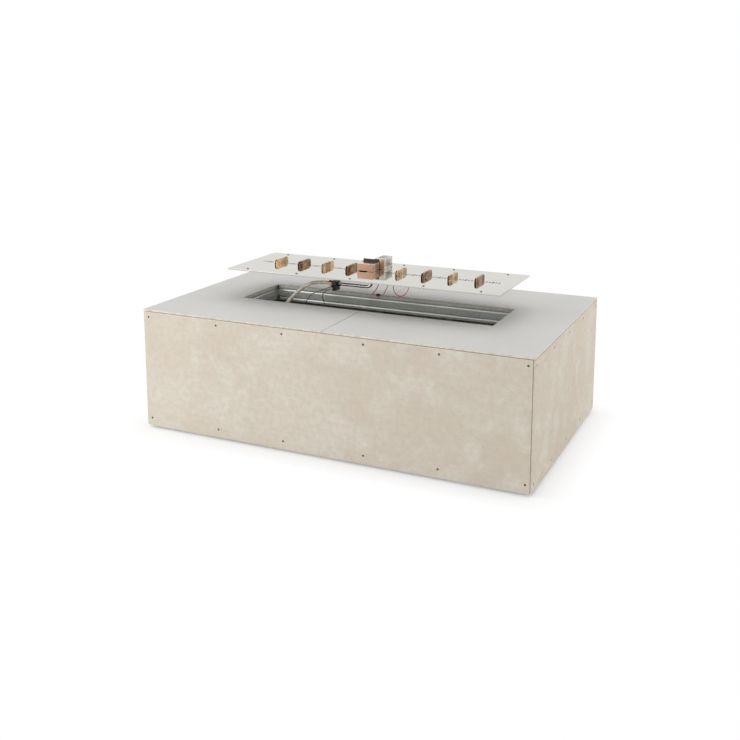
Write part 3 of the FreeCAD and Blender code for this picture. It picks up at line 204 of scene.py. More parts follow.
SPARK_ROUTE = [(-14.25, 80, CHAMBER_UNDER), (-14.25, 80, CHAMBER_UNDER - 16), (-12, 54, 532),
               (-11, 20, 513), (-16, -8, 504), (-2, -20, 508), (12, -20, 508)]
RETURN_ROUTE = [(26, -20, 508), (38, -20, 508), (48, -21, 523), (56, -20, 542),
                (60, -18, CHAMBER_UNDER - 12), (60, -18, CHAMBER_UNDER)]
SENSOR_ROUTE = [(80, -17, CHAMBER_UNDER), (80, -17, CHAMBER_UNDER - 14), (83, -20, 536),
                (92, -21, 519), (107, -19, 511), (123, -15, 514), (135, -9, 529),
                (141, -5, 548), (141, -4, CHAMBER_UNDER - 9), (141, -4, CHAMBER_UNDER)]
print("points of the hose's route:", len(HOSE_ROUTE))

# %% The cords
HOSE_RADIUS, HOSE_SIDES = 7.0 * MM, 24
WIRE_RADIUS, WIRE_SIDES = 1.5 * MM, 12
HELD_BELOW, HELD_ABOVE = 0.05, 0.02
cords, cord_lines = {}, {}
for name, route, radius, sides in (
        ("gas_hose", HOSE_ROUTE, HOSE_RADIUS, HOSE_SIDES),
        ("control_wire_left", LEFT_WIRE_ROUTE, WIRE_RADIUS, WIRE_SIDES),
        ("control_wire_right", RIGHT_WIRE_ROUTE, WIRE_RADIUS, WIRE_SIDES),
        ("spark_lead", SPARK_ROUTE, WIRE_RADIUS, WIRE_SIDES),
        ("return_lead", RETURN_ROUTE, WIRE_RADIUS, WIRE_SIDES),
        ("sensor_lead", SENSOR_ROUTE, WIRE_RADIUS, WIRE_SIDES)):
    line = cord_line(route)
    piece = tube_mesh(name + "_skin", line, radius, sides)
    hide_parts(name)
    cords[name], cord_lines[name] = piece, line
    if name in ("gas_hose", "control_wire_left", "control_wire_right"):
        low = (line[-1].x, line[-1].y, line[-1].z + HELD_BELOW)
        high = (line[0].x, line[0].y, line[0].z - HELD_ABOVE)
        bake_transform(piece)
    else:
        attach(piece, "burner")
    print(name, "is", round(line_length(line) / MM), "mm long")

# %% [markdown]
# ## Helpers for meshes
#
# Most pieces are sheet metal, moulded plastic or turned brass. Three ways cover them: a box or a
# bent section pushed along a line, a profile turned round an axis, and a cut made with a Boolean
# modifier. Every hard edge then gets a small bevel, because a real edge is never perfectly sharp
# and its thin highlight is what makes a piece look solid. All sizes are given in millimetres.

# %% Boxes and pushed sections
def add_box(made, low, high):
    """Adds a box between two corners."""
    spots = [(x, y, z) for z in (low[2], high[2]) for y in (low[1], high[1])
             for x in (low[0], high[0])]
    verts = [made.verts.new(Vector(spot) * MM) for spot in spots]
    for face in ((0, 2, 3, 1), (4, 5, 7, 6), (0, 1, 5, 4),
                 (2, 6, 7, 3), (0, 4, 6, 2), (1, 3, 7, 5)):
        made.faces.new([verts[corner] for corner in face])


def add_section(made, section, start, end, place):
    """Pushes a flat outline from start to end; place(a, b, along) gives each point."""
    ends = [[made.verts.new(Vector(place(a, b, along)) * MM) for a, b in section]
            for along in (start, end)]
    close_ends(made, ends)
    join_rings(made, ends)


def upwards(a, b, along):
    """Lays the outline flat and pushes it upwards."""
    return a, b, along


# %% Turned shapes
TO_AXIS = {"Z": Matrix.Identity(3), "X": Matrix.Rotation(math.pi / 2, 3, "Y")}


def add_turned(made, profile, centre, axis="Z", sides=32, closed=False):
    """Turns a profile of (radius, height) points round an axis; a closed one makes a ring."""
    rings = []
    for radius, height in profile:
        if radius:
            spots = [(radius * math.cos(turn), radius * math.sin(turn), height)
                     for turn in circle(sides)]
        else:
            spots = [(0, 0, height)]
        rings.append([made.verts.new((Vector(centre) + TO_AXIS[axis] @ Vector(spot)) * MM)
                      for spot in spots])
    if closed:
        join_rings(made, rings + rings[:1])
    else:
        join_rings(made, rings)
        close_ends(made, rings)


def add_drill(made, radius, start, end, at, axis="Z", sides=20):
    """Adds a plain cylinder, which cuts a hole."""
    add_turned(made, [(radius, start), (radius, end)], at, axis, sides)


# %% Finished pieces
SHARP = math.radians(38.0)


def new_piece(name, made, ease=0.0, steps=2):
    """Bevels the hard edges and turns the work mesh into an object."""
    bmesh.ops.recalc_face_normals(made, faces=made.faces[:])
    if ease:
        hard = [edge for edge in made.edges
                if len(edge.link_faces) == 2 and edge.calc_face_angle() > SHARP]
        bmesh.ops.bevel(made, geom=hard, offset=ease * MM, segments=steps, profile=0.5,
                        affect="EDGES", clamp_overlap=True)
    mesh = to_mesh(name, made)
    for face in mesh.polygons:
        face.use_smooth = True
    mesh.set_sharp_from_angle(angle=SHARP)
    return add_object(name, mesh)


def block(name, low, high, ease, steps=2):
    """A box as a piece of its own."""
    made = bmesh.new()
    add_box(made, low, high)
    return new_piece(name, made, ease, steps)


def pushed(name, section, start, end, place, ease=0.0):
    """A pushed section as a piece of its own."""
    made = bmesh.new()
    add_section(made, section, start, end, place)
    return new_piece(name, made, ease)


# %% Cuts and even shading
def bake_modifiers(piece):
    """Turns what the piece's modifiers show into its own mesh, and drops the modifiers."""
    graph = bpy.context.evaluated_depsgraph_get()
    mesh = bpy.data.meshes.new_from_object(piece.evaluated_get(graph))
    piece.modifiers.clear()
    piece.data = mesh


def carve(piece, made):
    """Cuts a work mesh out of a piece for good."""
    bmesh.ops.recalc_face_normals(made, faces=made.faces[:])
    cutter = add_object("cutter", to_mesh("cutter", made))
    cut = piece.modifiers.new("cut", "BOOLEAN")
    cut.object = cutter
    cut.operation = "DIFFERENCE"
    cut.solver = "EXACT"
    cut.use_self = True
    bake_modifiers(piece)
    bpy.data.objects.remove(cutter)
    piece.data.set_sharp_from_angle(angle=SHARP)
    return piece


def even_shading(piece):
    """Lets the large faces rule the normals, so flat sheet looks flat up to its eased edges."""
    even = piece.modifiers.new("even", "WEIGHTED_NORMAL")
    even.keep_sharp = True
    even.weight = 90
    bake_modifiers(piece)


# %% Places from the construction
pieces = {}


def stand_for(piece, body, *names):
    """The piece rides on a body and takes the place of these nodes of the construction."""
    even_shading(piece)
    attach(piece, body)
    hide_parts(*names)
    pieces[piece.name] = piece


def corners(name):
    """A node's lowest and highest corner."""
    low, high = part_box(name)
    return Vector(low) / MM, Vector(high) / MM


# %% [markdown]
# ## Boards
#
# The boards are cut from quarter inch cement board. They are plain, but not sharp: the cut edge is
# a little rounded and crumbly, so it stands back by a millimetre or two at the corners and by less
# at the other joints. The side boards are simple plates, because the screw heads fill their holes.
# The two top boards are C shapes that meet at the middle.

# %% Side boards
CRUMBLED, CORNER_CRUMBLED = 0.8, 1.8
BOARD_EASE = 0.5
for wall in ("front", "back", "left", "right"):
    low, high = corners(wall + "_panel")
    ends = Vector((0, CORNER_CRUMBLED if wall in ("left", "right") else 0, 0))
    board = block(wall + "_board", low + ends, high - ends - Vector((0, 0, CRUMBLED)), BOARD_EASE)
    stand_for(board, "table", wall + "_panel")
print("side boards:", [tuple(round(v) for v in piece.dimensions / MM) for piece in pieces.values()])

# %% Top boards
PLATE_SCREWS = [(-34, -160), (51, 160)] + [(x, y) for x in (-480, -262, 262, 480)
                                           for y in (-160, 160)]
SCREW_ROOM = 3.0
OPENING_HALF_X, OPENING_HALF_Y = 518.5, 136.5
for side, hand in ((-1, "left"), (1, "right")):
    low, high = corners("top_board_" + hand)
    seam, end = (high.x - CRUMBLED, low.x) if side < 0 else (low.x + CRUMBLED, high.x)
    lip = side * OPENING_HALF_X
    shape = [(seam, low.y), (end, low.y), (end, high.y), (seam, high.y), (seam, OPENING_HALF_Y),
             (lip, OPENING_HALF_Y), (lip, -OPENING_HALF_Y), (seam, -OPENING_HALF_Y)]
    board = pushed("top_board_%s_slab" % hand, shape, low.z, high.z, upwards, BOARD_EASE)
    drills = bmesh.new()
    for x, y in PLATE_SCREWS:
        if x * side > 0:
            add_drill(drills, SCREW_ROOM, low.z - 2, high.z + 2, (x, y, 0))
    stand_for(carve(board, drills), "table", "top_board_" + hand)
print("top boards:", ", ".join(name for name in pieces if name.endswith("_slab")))

# %% [markdown]
# ## Opening lining
#
# Four ribbed studs line the opening. They are rolled from thin sheet, so each is drawn as a path
# with rounded bends, which is then given its thickness. The two ribs are shallow grooves. Their
# lower slopes lean back a little and mirror the bright room above the boards, so each shows as a
# bright line along the stud.

# %% Sheet sections
def rounded_path(points, radii, steps=4):
    """Replaces each inner corner of a path by an arc of its own radius."""
    path = [Vector(points[0])]
    for before, corner, after, radius in zip(points, points[1:], points[2:], radii):
        corner = Vector(corner)
        back, on = (Vector(before) - corner).normalized(), (Vector(after) - corner).normalized()
        half = back.angle(on) / 2
        start, end = corner + back * radius / math.tan(half), corner + on * radius / math.tan(half)
        centre = corner + (back + on).normalized() * radius / math.sin(half)
        for number in range(steps + 1):
            spoke = start.lerp(end, number / steps) - centre
            path.append(centre + spoke.normalized() * radius)
    return path + [Vector(points[-1])]


def sheet_outline(path, sheet):
    """Gives a path its thickness, half on each side."""
    one, other = [], []
    for number, spot in enumerate(path):
        along = path[min(number + 1, len(path) - 1)] - path[max(number - 1, 0)]
        across = Vector((-along.y, along.x)).normalized() * sheet / 2
        one.append(spot + across)
        other.append(spot - across)
    return one + other[::-1]


# %% Lining studs
STUD_SHEET, STUD_LIP, BEND = 1.2, 6.0, 2.2
RIB_AT, RIB_HALF, RIB_DEEP, RIB_BEND = 17.0, 5.2, 1.6, 2.5
for hand, node_name, across, side in (("front", "opening_front_header", 1, -1),
                                      ("back", "opening_back_header", 1, 1),
                                      ("left", "opening_left_joist", 0, -1),
                                      ("right", "opening_right_joist", 0, 1)):
    low, high = corners(node_name)
    half = STUD_SHEET / 2
    face = low[across] if side > 0 else high[across]
    leg, foot, head = high[across] - low[across] - half, low.z + half, high.z - half
    route = [(leg, foot + STUD_LIP - half), (leg, foot), (half, foot)]
    for rib in (-RIB_AT, RIB_AT):
        middle = (foot + head) / 2 + rib
        route += [(half, middle - RIB_HALF), (half + RIB_DEEP, middle), (half, middle + RIB_HALF)]
    route += [(half, head), (leg, head), (leg, head - STUD_LIP + half)]
    path = rounded_path(route, [BEND, BEND] + [RIB_BEND] * 6 + [BEND, BEND])
    place_stud = (lambda a, b, along: (along, face + side * a, b)) if across else (
        lambda a, b, along: (face + side * a, along, b))
    stud = pushed(hand + "_lining_stud", sheet_outline(path, STUD_SHEET),
                  low[1 - across], high[1 - across], place_stud)
    if across:
        drills = bmesh.new()
        for x, y in PLATE_SCREWS:
            if y * side > 0:
                add_drill(drills, SCREW_ROOM, high.z - 3 * STUD_SHEET, high.z + 3, (x, y, 0))
        carve(stud, drills)
    stand_for(stud, "table", node_name)
print("lining studs:", sum(name.endswith("_lining_stud") for name in pieces))

# %% [markdown]
# ## Board screws
#
# Each board is held by flush screws with a cross recess. A turned profile makes the head, and a
# small cross is pressed into its dome. The cross stays above the board's face, because the plain
# boards have no holes, and their pale face would show at its bottom. One finished screw is copied
# to every place, and all of them share one mesh, as in the construction. The heads are coloured a
# dark brownish zinc, which is painted shade: it stands in for the shade in a sunk screw's recess.

# %% One board screw
def turned(name, profile, sides, centre=(0, 0, 0)):
    """A turned profile as a piece of its own."""
    made = bmesh.new()
    add_turned(made, profile, centre, sides=sides)
    return new_piece(name, made)


def cross_recess(arm, half_width, start, end):
    """A work mesh of two crossed bars, which cuts the recess of a screw."""
    made = bmesh.new()
    for wide, tall in ((arm, half_width), (half_width, arm)):
        add_box(made, (-wide, -tall, start), (wide, tall, end))
    return made


HEAD, NECK, SCREW_LONG, DOME, RECESS = 4.3, 2.0, 16.0, 0.25, 2.2
profile = [(0, -DOME), (HEAD * 0.55, -DOME), (HEAD * 0.93, -DOME * 0.6), (HEAD, 0.15),
           (NECK, HEAD - NECK + 0.4), (NECK, SCREW_LONG - 3), (0, SCREW_LONG)]
blank = carve(turned("blank", profile, 16), cross_recess(RECESS, RECESS * 0.28, -2, -0.04))
print("one board screw:", len(blank.data.polygons), "faces")

# %% All board screws
def add_copy(made, blank, place, turn=Matrix.Identity(4)):
    """Adds a copy of a finished blank to a work mesh, turned and moved to its place."""
    mesh = blank.data.copy()
    mesh.transform(Matrix.Translation(Vector(place) * MM) @ turn)
    made.from_mesh(mesh)
    bpy.data.meshes.remove(mesh)


def facing(direction):
    """The turn that brings the Z axis into a direction."""
    return Vector(direction).to_track_quat("Z", "Y").to_matrix().to_4x4()


BOARD_FACE_X, BOARD_FACE_Y = 762, 457
STUD_NEAR, STUD_FAR, CORNER_LONG = 160.0, 437.0, 739.35
SIDE_PITCH, CORNER_SHORT = 216.0, 436.0
ROW_HIGH, ROW_LOW = 441.45, 41.0
made = bmesh.new()
for height in (ROW_HIGH, ROW_LOW):
    for side in (-1, 1):
        for x in (-CORNER_LONG, -STUD_FAR, -STUD_NEAR, STUD_NEAR, STUD_FAR, CORNER_LONG):
            add_copy(made, blank, (x, side * BOARD_FACE_Y, height), facing((0, -side, 0)))
        for y in (-CORNER_SHORT, -SIDE_PITCH, 0, SIDE_PITCH, CORNER_SHORT):
            add_copy(made, blank, (side * BOARD_FACE_X, y, height), facing((-side, 0, 0)))
bpy.data.objects.remove(blank)
stand_for(new_piece("flush_screws", made), "table", "board_screws")
print("board screws:", len(pieces["flush_screws"].data.polygons), "faces")

# %% [markdown]
# ## Burner plate
#
# The burner lies on the boards when it is in use: a polished stainless sheet with a turned-down
# rim. A row of gas jets runs down its middle, small holes with a short slot between every two
# tabs. The holes go right through, so they are cut and not painted on.

# %% Plate
def add_hollow(made, low, high, wall, below):
    """Adds the inside of a box that is open from below."""
    add_box(made, low + Vector((wall, wall, -below)), high - Vector((wall, wall, wall)))


PLATE_SHEET = 1.6
low, high = corners("burner_plate")
plate = block("plate_sheet", low, high, ease=1.0, steps=3)
hollow = bmesh.new()
add_hollow(hollow, low, high, PLATE_SHEET, below=3)
carve(plate, hollow)
print("plate:", [round(v) for v in high - low], "mm")

# %% Holes of the plate
TAB_PITCH, JET_PITCH = 105.0, 12.0
JET_SLOTS = [side * (number + 0.5) * TAB_PITCH for side in (-1, 1) for number in range(5)]
SCREW_HOLE, JET_HOLE, SLOT_HALF_X, SLOT_HALF_Y = 2.3, 2.1, 1.8, 6
ELECTRODE_AT, ELECTRODE_ROOM = (-14.25, 80.0), 5.3
drills = bmesh.new()
under, over = low.z + 1, high.z + 3
for x, y in PLATE_SCREWS:
    add_drill(drills, SCREW_HOLE, under, over, (x, y, 0))
for middle in JET_SLOTS:
    add_box(drills, (middle - SLOT_HALF_X, -SLOT_HALF_Y, under),
            (middle + SLOT_HALF_X, SLOT_HALF_Y, over))
    for step in (-2, -1, 1, 2):
        add_drill(drills, JET_HOLE, under, over, (middle + step * JET_PITCH, 0, 0), sides=14)
add_drill(drills, ELECTRODE_ROOM, under, over, (*ELECTRODE_AT, 0), sides=28)
stand_for(carve(plate, drills), "burner", "burner_plate")
print("holes cut, which leaves", len(plate.data.polygons), "faces")

# %% [markdown]
# ## Flame tabs
#
# Eight folded strips stand across the row of jets and spread the flame. Each is one sheet bent
# double, with its fold on top, rounded upper corners and two low holes. The outline is pushed out
# sideways and the inside is cut away, which leaves both leaves and the fold.

# %% Helpers for the tabs
def lengthwise(a, b, along):
    """Stands the outline across the long side and pushes it along X."""
    return along, a, b


def rounded_outline(half_long, bottom, top, corner, steps=8):
    """A rectangle standing on square feet, with its two upper corners rounded."""
    arc = [(half_long - corner + corner * math.cos(math.pi / 2 * n / steps),
            top - corner + corner * math.sin(math.pi / 2 * n / steps)) for n in range(steps + 1)]
    return [(-half_long, bottom), (half_long, bottom)] + arc + [(-a, b) for a, b in reversed(arc)]


def ease_edges(piece, width):
    """Rounds the hard edges that are left after cutting."""
    bevel = piece.modifiers.new("eased", "BEVEL")
    bevel.width = width * MM
    bevel.segments = 2
    bevel.limit_method = "ANGLE"
    bevel.angle_limit = math.radians(50)
    bevel.use_clamp_overlap = True
    bake_modifiers(piece)
    piece.data.set_sharp_from_angle(angle=SHARP)
    return piece


# %% Tabs
SHEET = 1.5
TAB_CORNER, TAB_HOLE, HOLE_Y, HOLE_RISE = 14.0, 3, 22, 5.5
for number in range(1, 9):
    low, high = corners("flame_tab_%d" % number)
    shape = rounded_outline((high.y - low.y) / 2, low.z, high.z, TAB_CORNER)
    tab = pushed("folded_tab_%d" % number, shape, low.x, high.x, lengthwise)
    tools = bmesh.new()
    add_box(tools, (low.x + SHEET, low.y - 5, low.z - 5),
            (high.x - SHEET, high.y + 5, high.z - SHEET))
    for y in (-HOLE_Y, HOLE_Y):
        at = ((low.x + high.x) / 2, y, low.z + HOLE_RISE)
        add_drill(tools, TAB_HOLE, -8, 8, at, axis="X", sides=24)
    carve(tab, tools)
    stand_for(ease_edges(tab, 0.35), "burner", "flame_tab_%d" % number)
print("tabs:", sum(name.startswith("folded_tab") for name in pieces))

# %% [markdown]
# ## Igniter
#
# A copper-toned hood covers the pilot flame, with a slot along its front foot. A strip is fixed on
# its roof; its black is partly painted shade, standing in for the dark gap between hood and guard.
# A slotted guard behind it keeps fingers and logs off the spark electrode.

# %% Hood
SLOT_OFF, SLOT_HALF = 8.75, 17.5
low, high = corners("ignition_hood")
hood = block("copper_hood", low, high, ease=1.6, steps=4)
tools = bmesh.new()
add_hollow(tools, low, high, SHEET, below=5)
middle = (low.x + high.x) / 2 - SLOT_OFF
add_box(tools, (middle - SLOT_HALF, low.y - 3, low.z - 4),
        (middle + SLOT_HALF, low.y + 3, low.z + 3))
stand_for(ease_edges(carve(hood, tools), 0.3), "burner", "ignition_hood")
print("hood:", [round(v) for v in high - low], "mm")

# %% Strip
# the strip is painted black, partly as painted shade for the gap along the hood's roof
low, high = corners("hood_deflector")
shape = [(low.y, low.z), (high.y, low.z), (high.y, high.z), (high.y - SHEET, high.z),
         (high.y - SHEET, low.z + SHEET), (low.y, low.z + SHEET)]
strip = pushed("black_strip", shape, low.x, high.x, lengthwise, ease=0.35)
stand_for(strip, "burner", "hood_deflector")
print("strip:", [round(v) for v in high - low], "mm")

# %% Guard
ROWS, FRAME_EDGE, SLOT = 6, 8.0, 4.0
low, high = corners("igniter_cage")
guard = block("slotted_guard", low, high, ease=1.4, steps=3)
tools = bmesh.new()
add_hollow(tools, low, high, SHEET, below=5)
carve(guard, tools)
spacing = (high.y - low.y - 2 * FRAME_EDGE) / ROWS
tools = bmesh.new()
for row in range(ROWS):
    near = low.y + FRAME_EDGE + (row + 0.5) * spacing - SLOT / 2
    add_box(tools, (low.x + FRAME_EDGE, near, high.z - 3),
            (high.x - FRAME_EDGE, near + SLOT, high.z + 3))
    add_box(tools, (low.x - 3, near, low.z + FRAME_EDGE),
            (high.x + 3, near + SLOT, high.z - FRAME_EDGE))
stand_for(ease_edges(carve(guard, tools), 0.3), "burner", "igniter_cage")
print("guard:", len(guard.data.polygons), "faces")

# %% Spark electrode
low, high = corners("spark_electrode")
profile = [(0, 0), (2.4, 0), (2.4, 8), (4.2, 8), (5.0, 9)]
for ridge in range(3):
    rise = 12 + 4 * ridge
    profile += [(5.0, rise), (4.4, rise + 1), (4.4, rise + 2), (5.0, rise + 3)]
profile += [(5.0, 38), (4.4, 40.0), (1.2, 40.6), (1.2, high.z - low.z - 1), (0, high.z - low.z)]
electrode = turned("ceramic_electrode", profile, 28, (*ELECTRODE_AT, low.z))
stand_for(electrode, "burner", "spark_electrode")
print("electrode:", round(high.z - low.z), "mm tall")

# %% [markdown]
# ## Gas line
#
# Under the plate a black electric valve hangs on a bent strip. A copper-coloured nut joins the
# hose to it, and a bright tube turns up into the chamber. Nuts are six-sided bars with chamfered
# corners: a cone cut over a hexagon leaves the curved edges that a real nut has.

# %% Nuts
def add_nut(made, centre, flats, tall, bore, axis="Z", turn=0.0):
    """A hexagon nut whose corners are cut back by a cone at both ends."""
    corner, inner = flats / 2 / math.cos(math.pi / 6), flats / 2
    angles = [math.pi / 3 * n + turn for n in range(6)]
    outline = [(corner * math.cos(angle), corner * math.sin(angle)) for angle in angles]
    nut = pushed("nut", outline, 0.0, tall, upwards)
    ring = bmesh.new()
    lift = (corner - inner) * 0.75
    profile = [(inner, -1), (corner + 4, -1), (corner + 4, tall + 1), (inner, tall + 1),
               (inner, tall), (corner + 0.3, tall - lift), (corner + 0.3, lift), (inner, 0.0)]
    add_turned(ring, profile, (0, 0, 0), sides=48, closed=True)
    carve(nut, ring)
    hole = bmesh.new()
    add_drill(hole, bore, -2, tall + 2, (0, 0, 0), sides=28)
    carve(nut, hole)
    add_copy(made, nut, centre, TO_AXIS[axis].to_4x4())
    bpy.data.objects.remove(nut)


HOSE_BORE = 5.3
made = bmesh.new()
add_nut(made, (-192, GAS_Y, GAS_LINE), 19.0, 19.0, HOSE_BORE, "X")
stand_for(new_piece("hose_nut", made), "burner", "flare_nut")
print("hose nut:", len(pieces["hose_nut"].data.polygons), "faces")

# %% Valve
low, high = corners("gas_valve")
made = bmesh.new()
add_box(made, (low.x, low.y, low.z + 13), high)
for inset, bottom, top in ((3, 9, 13), (1.5, 0, 9)):
    add_box(made, (low.x + inset, low.y + inset, low.z + bottom),
            (high.x - inset, high.y - inset, low.z + top))
for route in (LEFT_WIRE_ROUTE, RIGHT_WIRE_ROUTE):
    x = route[0][0]
    add_box(made, (x - 2.4, low.y - 0.1, WIRE_LEVEL - 3), (x + 2.4, low.y + 4, WIRE_LEVEL + 3))
stand_for(new_piece("black_valve", made, ease=0.8), "burner", "gas_valve")
print("valve:", [round(v) for v in high - low], "mm")

# %% Feed tube
FEED_START, FEED_BEND, RISE_X, FEED_RADIUS = -153, 20.0, -9.5, 6.5
line = [Vector((FEED_START, GAS_Y, GAS_LINE)), Vector((-90, GAS_Y, GAS_LINE))]
for step in range(13):
    angle = math.pi / 2 * step / 12
    line.append(Vector((RISE_X - FEED_BEND + FEED_BEND * math.sin(angle), GAS_Y,
                        GAS_LINE + FEED_BEND - FEED_BEND * math.cos(angle))))
line.append(Vector((RISE_X, GAS_Y, CHAMBER_UNDER)))
feed = tube_mesh("bright_tube", [spot * MM for spot in line], FEED_RADIUS * MM, sides=32)
made = bmesh.new()
add_copy(made, feed, (0, 0, 0))
bpy.data.objects.remove(feed)
add_nut(made, (FEED_START, GAS_Y, GAS_LINE), 17.0, 13.0, 6.3, "X", math.pi / 6)
stand_for(new_piece("bright_tube", made), "burner", "gas_feed_tube")
print("feed tube bend:", FEED_BEND, "mm")

# %% Bracket of the valve
low, high = corners("valve_bracket")
shape = [(low.y, high.z), (low.y, high.z - SHEET), (GAS_Y - SHEET, high.z - SHEET),
         (GAS_Y - SHEET, low.z), (high.y, low.z), (high.y, low.z + SHEET),
         (GAS_Y, low.z + SHEET), (GAS_Y, high.z)]
bracket = pushed("valve_strip", shape, low.x, high.x, lengthwise, ease=0.3)
stand_for(bracket, "burner", "valve_bracket")
print("valve strip:", [round(v) for v in bracket.dimensions / MM], "mm")

# %% [markdown]
# ## Screws of the plate
#
# Ten pan-headed screws stand in the plate's two rows of holes. Their threads hang below the
# lifted sheet. The ridges of a thread are rings here, which reads the same at this size.

# %% Plate screws
PLATE_TOP = 595.0
profile = [(0, 2.4), (2.2, 2.35), (3.6, 1.7), (4.4, 0.6), (4.5, 0.0), (2.0, 0.0), (2.0, -1.8)]
depth = -2.0
while depth > -10.2:
    profile += [(2.05, depth), (1.6, depth - 0.4)]
    depth -= 0.8
profile += [(1.5, -10.8), (0, -11)]
blank = carve(turned("blank", profile, 20), cross_recess(2.4, 0.5, 1.0, 4))
made = bmesh.new()
for x, y in PLATE_SCREWS:
    add_copy(made, blank, (x, y, PLATE_TOP))
bpy.data.objects.remove(blank)
stand_for(new_piece("pan_screws", made), "burner", "plate_screws")
print("plate screws:", len(PLATE_SCREWS))

# %% [markdown]
# ## Feet
#
# A levelling foot is a moulded pad on a threaded stem. It turns in a nut on the bottom track. The
# pad gets a soft edge and small grip ribs round its side, as a moulded hand-turned pad has.

# %% Pad and stem of a foot
RIBS, RIB_GROOVE = 24, 0.7


def add_foot(made, centre, pad, stem, low, pad_top, stem_top):
    """A ribbed pad and a threaded stem, one above the other."""
    x, y = centre
    outer = []
    for radius, height in ((pad - 2.2, low), (pad - 0.6, low + 0.8), (pad - 0.2, low + 2.0),
                           (pad - 0.2, pad_top - 3.0), (pad - 1.0, pad_top - 1.4),
                           (pad - 3.0, pad_top)):
        ribbed = low + 1.0 < height < pad_top - 2.0
        ring = []
        for step, turn in enumerate(circle(4 * RIBS)):
            reach = radius - (RIB_GROOVE if ribbed and step % 4 in (1, 2) else 0.0)
            spot = Vector((x + reach * math.cos(turn), y + reach * math.sin(turn), height))
            ring.append(made.verts.new(spot * MM))
        outer.append(ring)
    join_rings(made, outer)
    close_ends(made, outer)
    profile = [(0, pad_top - 0.5), (stem + 2.2, pad_top - 0.5), (stem + 2.0, pad_top + 0.5),
               (stem - 0.55, pad_top + 0.8)]
    height = pad_top + 1.2
    while height < stem_top - 1.2:
        profile += [(stem, height), (stem - 0.55, height + 0.6)]
        height += 1.25
    profile += [(stem - 0.8, stem_top - 0.1), (0, stem_top)]
    add_turned(made, profile, (x, y, 0), sides=24)


# %% Levelling feet and their nuts
PAD_RADIUS, PAD_TALL, STEM_RADIUS = 19.0, 9.0, 4.0
FOOT_NUT_LOW, FOOT_NUT_TALL, FOOT_NUT_FLATS, FOOT_NUT_BORE = 15.2, 6.5, 13.0, 4.15
nut_work = bmesh.new()
for wall in ("front", "back"):
    for hand in ("left", "right"):
        node_name = "leveling_foot_%s_%s" % (wall, hand)
        low, high = corners(node_name)
        centre = ((low.x + high.x) / 2, (low.y + high.y) / 2)
        made = bmesh.new()
        add_foot(made, centre, PAD_RADIUS, STEM_RADIUS, low.z, low.z + PAD_TALL, high.z)
        foot = new_piece("foot_%s_%s_screw" % (wall, hand), made)
        stand_for(foot, "foot_%s_%s" % (wall, hand), node_name)
        add_nut(nut_work, (*centre, FOOT_NUT_LOW), FOOT_NUT_FLATS, FOOT_NUT_TALL, FOOT_NUT_BORE)
stand_for(new_piece("track_nuts", nut_work), "table", "foot_nuts")
print("feet at", [round(v) for v in centre], "mm and mirrored")

# %% [markdown]
# ## Gas inlet and ignition box
#
# The hose ends in a brass union on a shelf under the left joist, and the two black wires end in a
# closed box on the front header. Both hide inside the table. They show from below and when the
# burner is lifted.

# %% Inlet union
low, high = corners("gas_inlet_fitting")
inlet = ((low.x + high.x) / 2, (low.y + high.y) / 2, 0)
made = bmesh.new()
add_nut(made, (inlet[0], inlet[1], 150.0), 22.5, 12.0, HOSE_BORE)
collar = [(HOSE_BORE, 150), (9.5, 150.0), (9.5, 147.0), (9.6, 147.0)]
add_turned(made, collar, inlet, sides=40)
thread = [(9.4, 147.0)]
height = 146.4
while height > low.z + 1.2:
    thread += [(10.65, height), (9.75, height - 0.9)]
    height -= 1.8
add_turned(made, thread + [(9.6, low.z), (HOSE_BORE, low.z)], inlet, sides=40)
seat = [(HOSE_BORE, 162), (8.6, 162), (8.6, 164.5), (7.6, 165.8), (HOSE_BORE, 165.8)]
add_turned(made, seat, inlet, sides=32)
stand_for(new_piece("brass_union", made), "table", "gas_inlet_fitting")
print("union:", round(high.z - low.z), "mm tall")

# %% Ignition box
low, high = corners("ignition_module")
LID, GAP, FINS, FIN_PITCH = 6, 0.6, 9, 11
made = bmesh.new()
add_box(made, low, (high.x, high.y, high.z - LID))
add_box(made, (low.x, low.y, high.z - LID + GAP), high)
add_box(made, (low.x + 1, low.y + 1, high.z - LID), (high.x - 1, high.y - 1, high.z - LID + GAP))
relief = [(4.6, high.z - 1), (4.4, high.z + 1.0), (3.0, high.z + 6), (1.7, high.z + 7.5)]
for route in (LEFT_WIRE_ROUTE, RIGHT_WIRE_ROUTE):
    add_turned(made, relief, (route[-1][0], MODULE_Y, 0), sides=20)
for step in range(FINS):
    x = low.x + 20 + step * FIN_PITCH
    add_box(made, (x, low.y - 0.6, low.z + 6), (x + 3, low.y + 1, high.z - 12))
stand_for(new_piece("ignition_box", made, ease=0.7), "table", "ignition_module")
print("ignition box:", FINS, "fins")

# %% Connector of the leads
low, high = corners("lead_connector")
made = bmesh.new()
add_box(made, low, high)
add_box(made, (low.x + 5, low.y - 0.6, low.z - 0.6), (low.x + 7, high.y + 0.6, high.z + 0.6))
plug = new_piece("crimp_connector", made, ease=0.7, steps=3)
stand_for(plug, "burner", "lead_connector")
for name, far_end, carried in (("spark_lead", "connector", [plug]), ("return_lead", "object", []),
                               ("sensor_lead", "object", [])):
    line = cord_lines[name]
print("pieces so far:", len(pieces) + len(cords))

# %% [markdown]
# ## Finishes
#
# A finish is a small network of nodes. Effects that several finishes share, such as cloudy colour,
# worn edges or settled dust, are node groups: each is built once and placed with its own values.
# Every pattern is worked out from the piece's own coordinates in metres, so its scale is real and
# it stays on the piece when the piece moves. Numbers that are the same all over a piece are set on
# the shader itself.

# %% Words for building node trees
def shade(red, green, blue):
    """A colour as it shows on screen, 0 to 255, turned into the linear light that shaders use."""
    linear = [(v / 255 / 12.92) if v <= 10 else ((v / 255 + 0.055) / 1.055) ** 2.4
              for v in (red, green, blue)]
    return (*linear, 1.0)


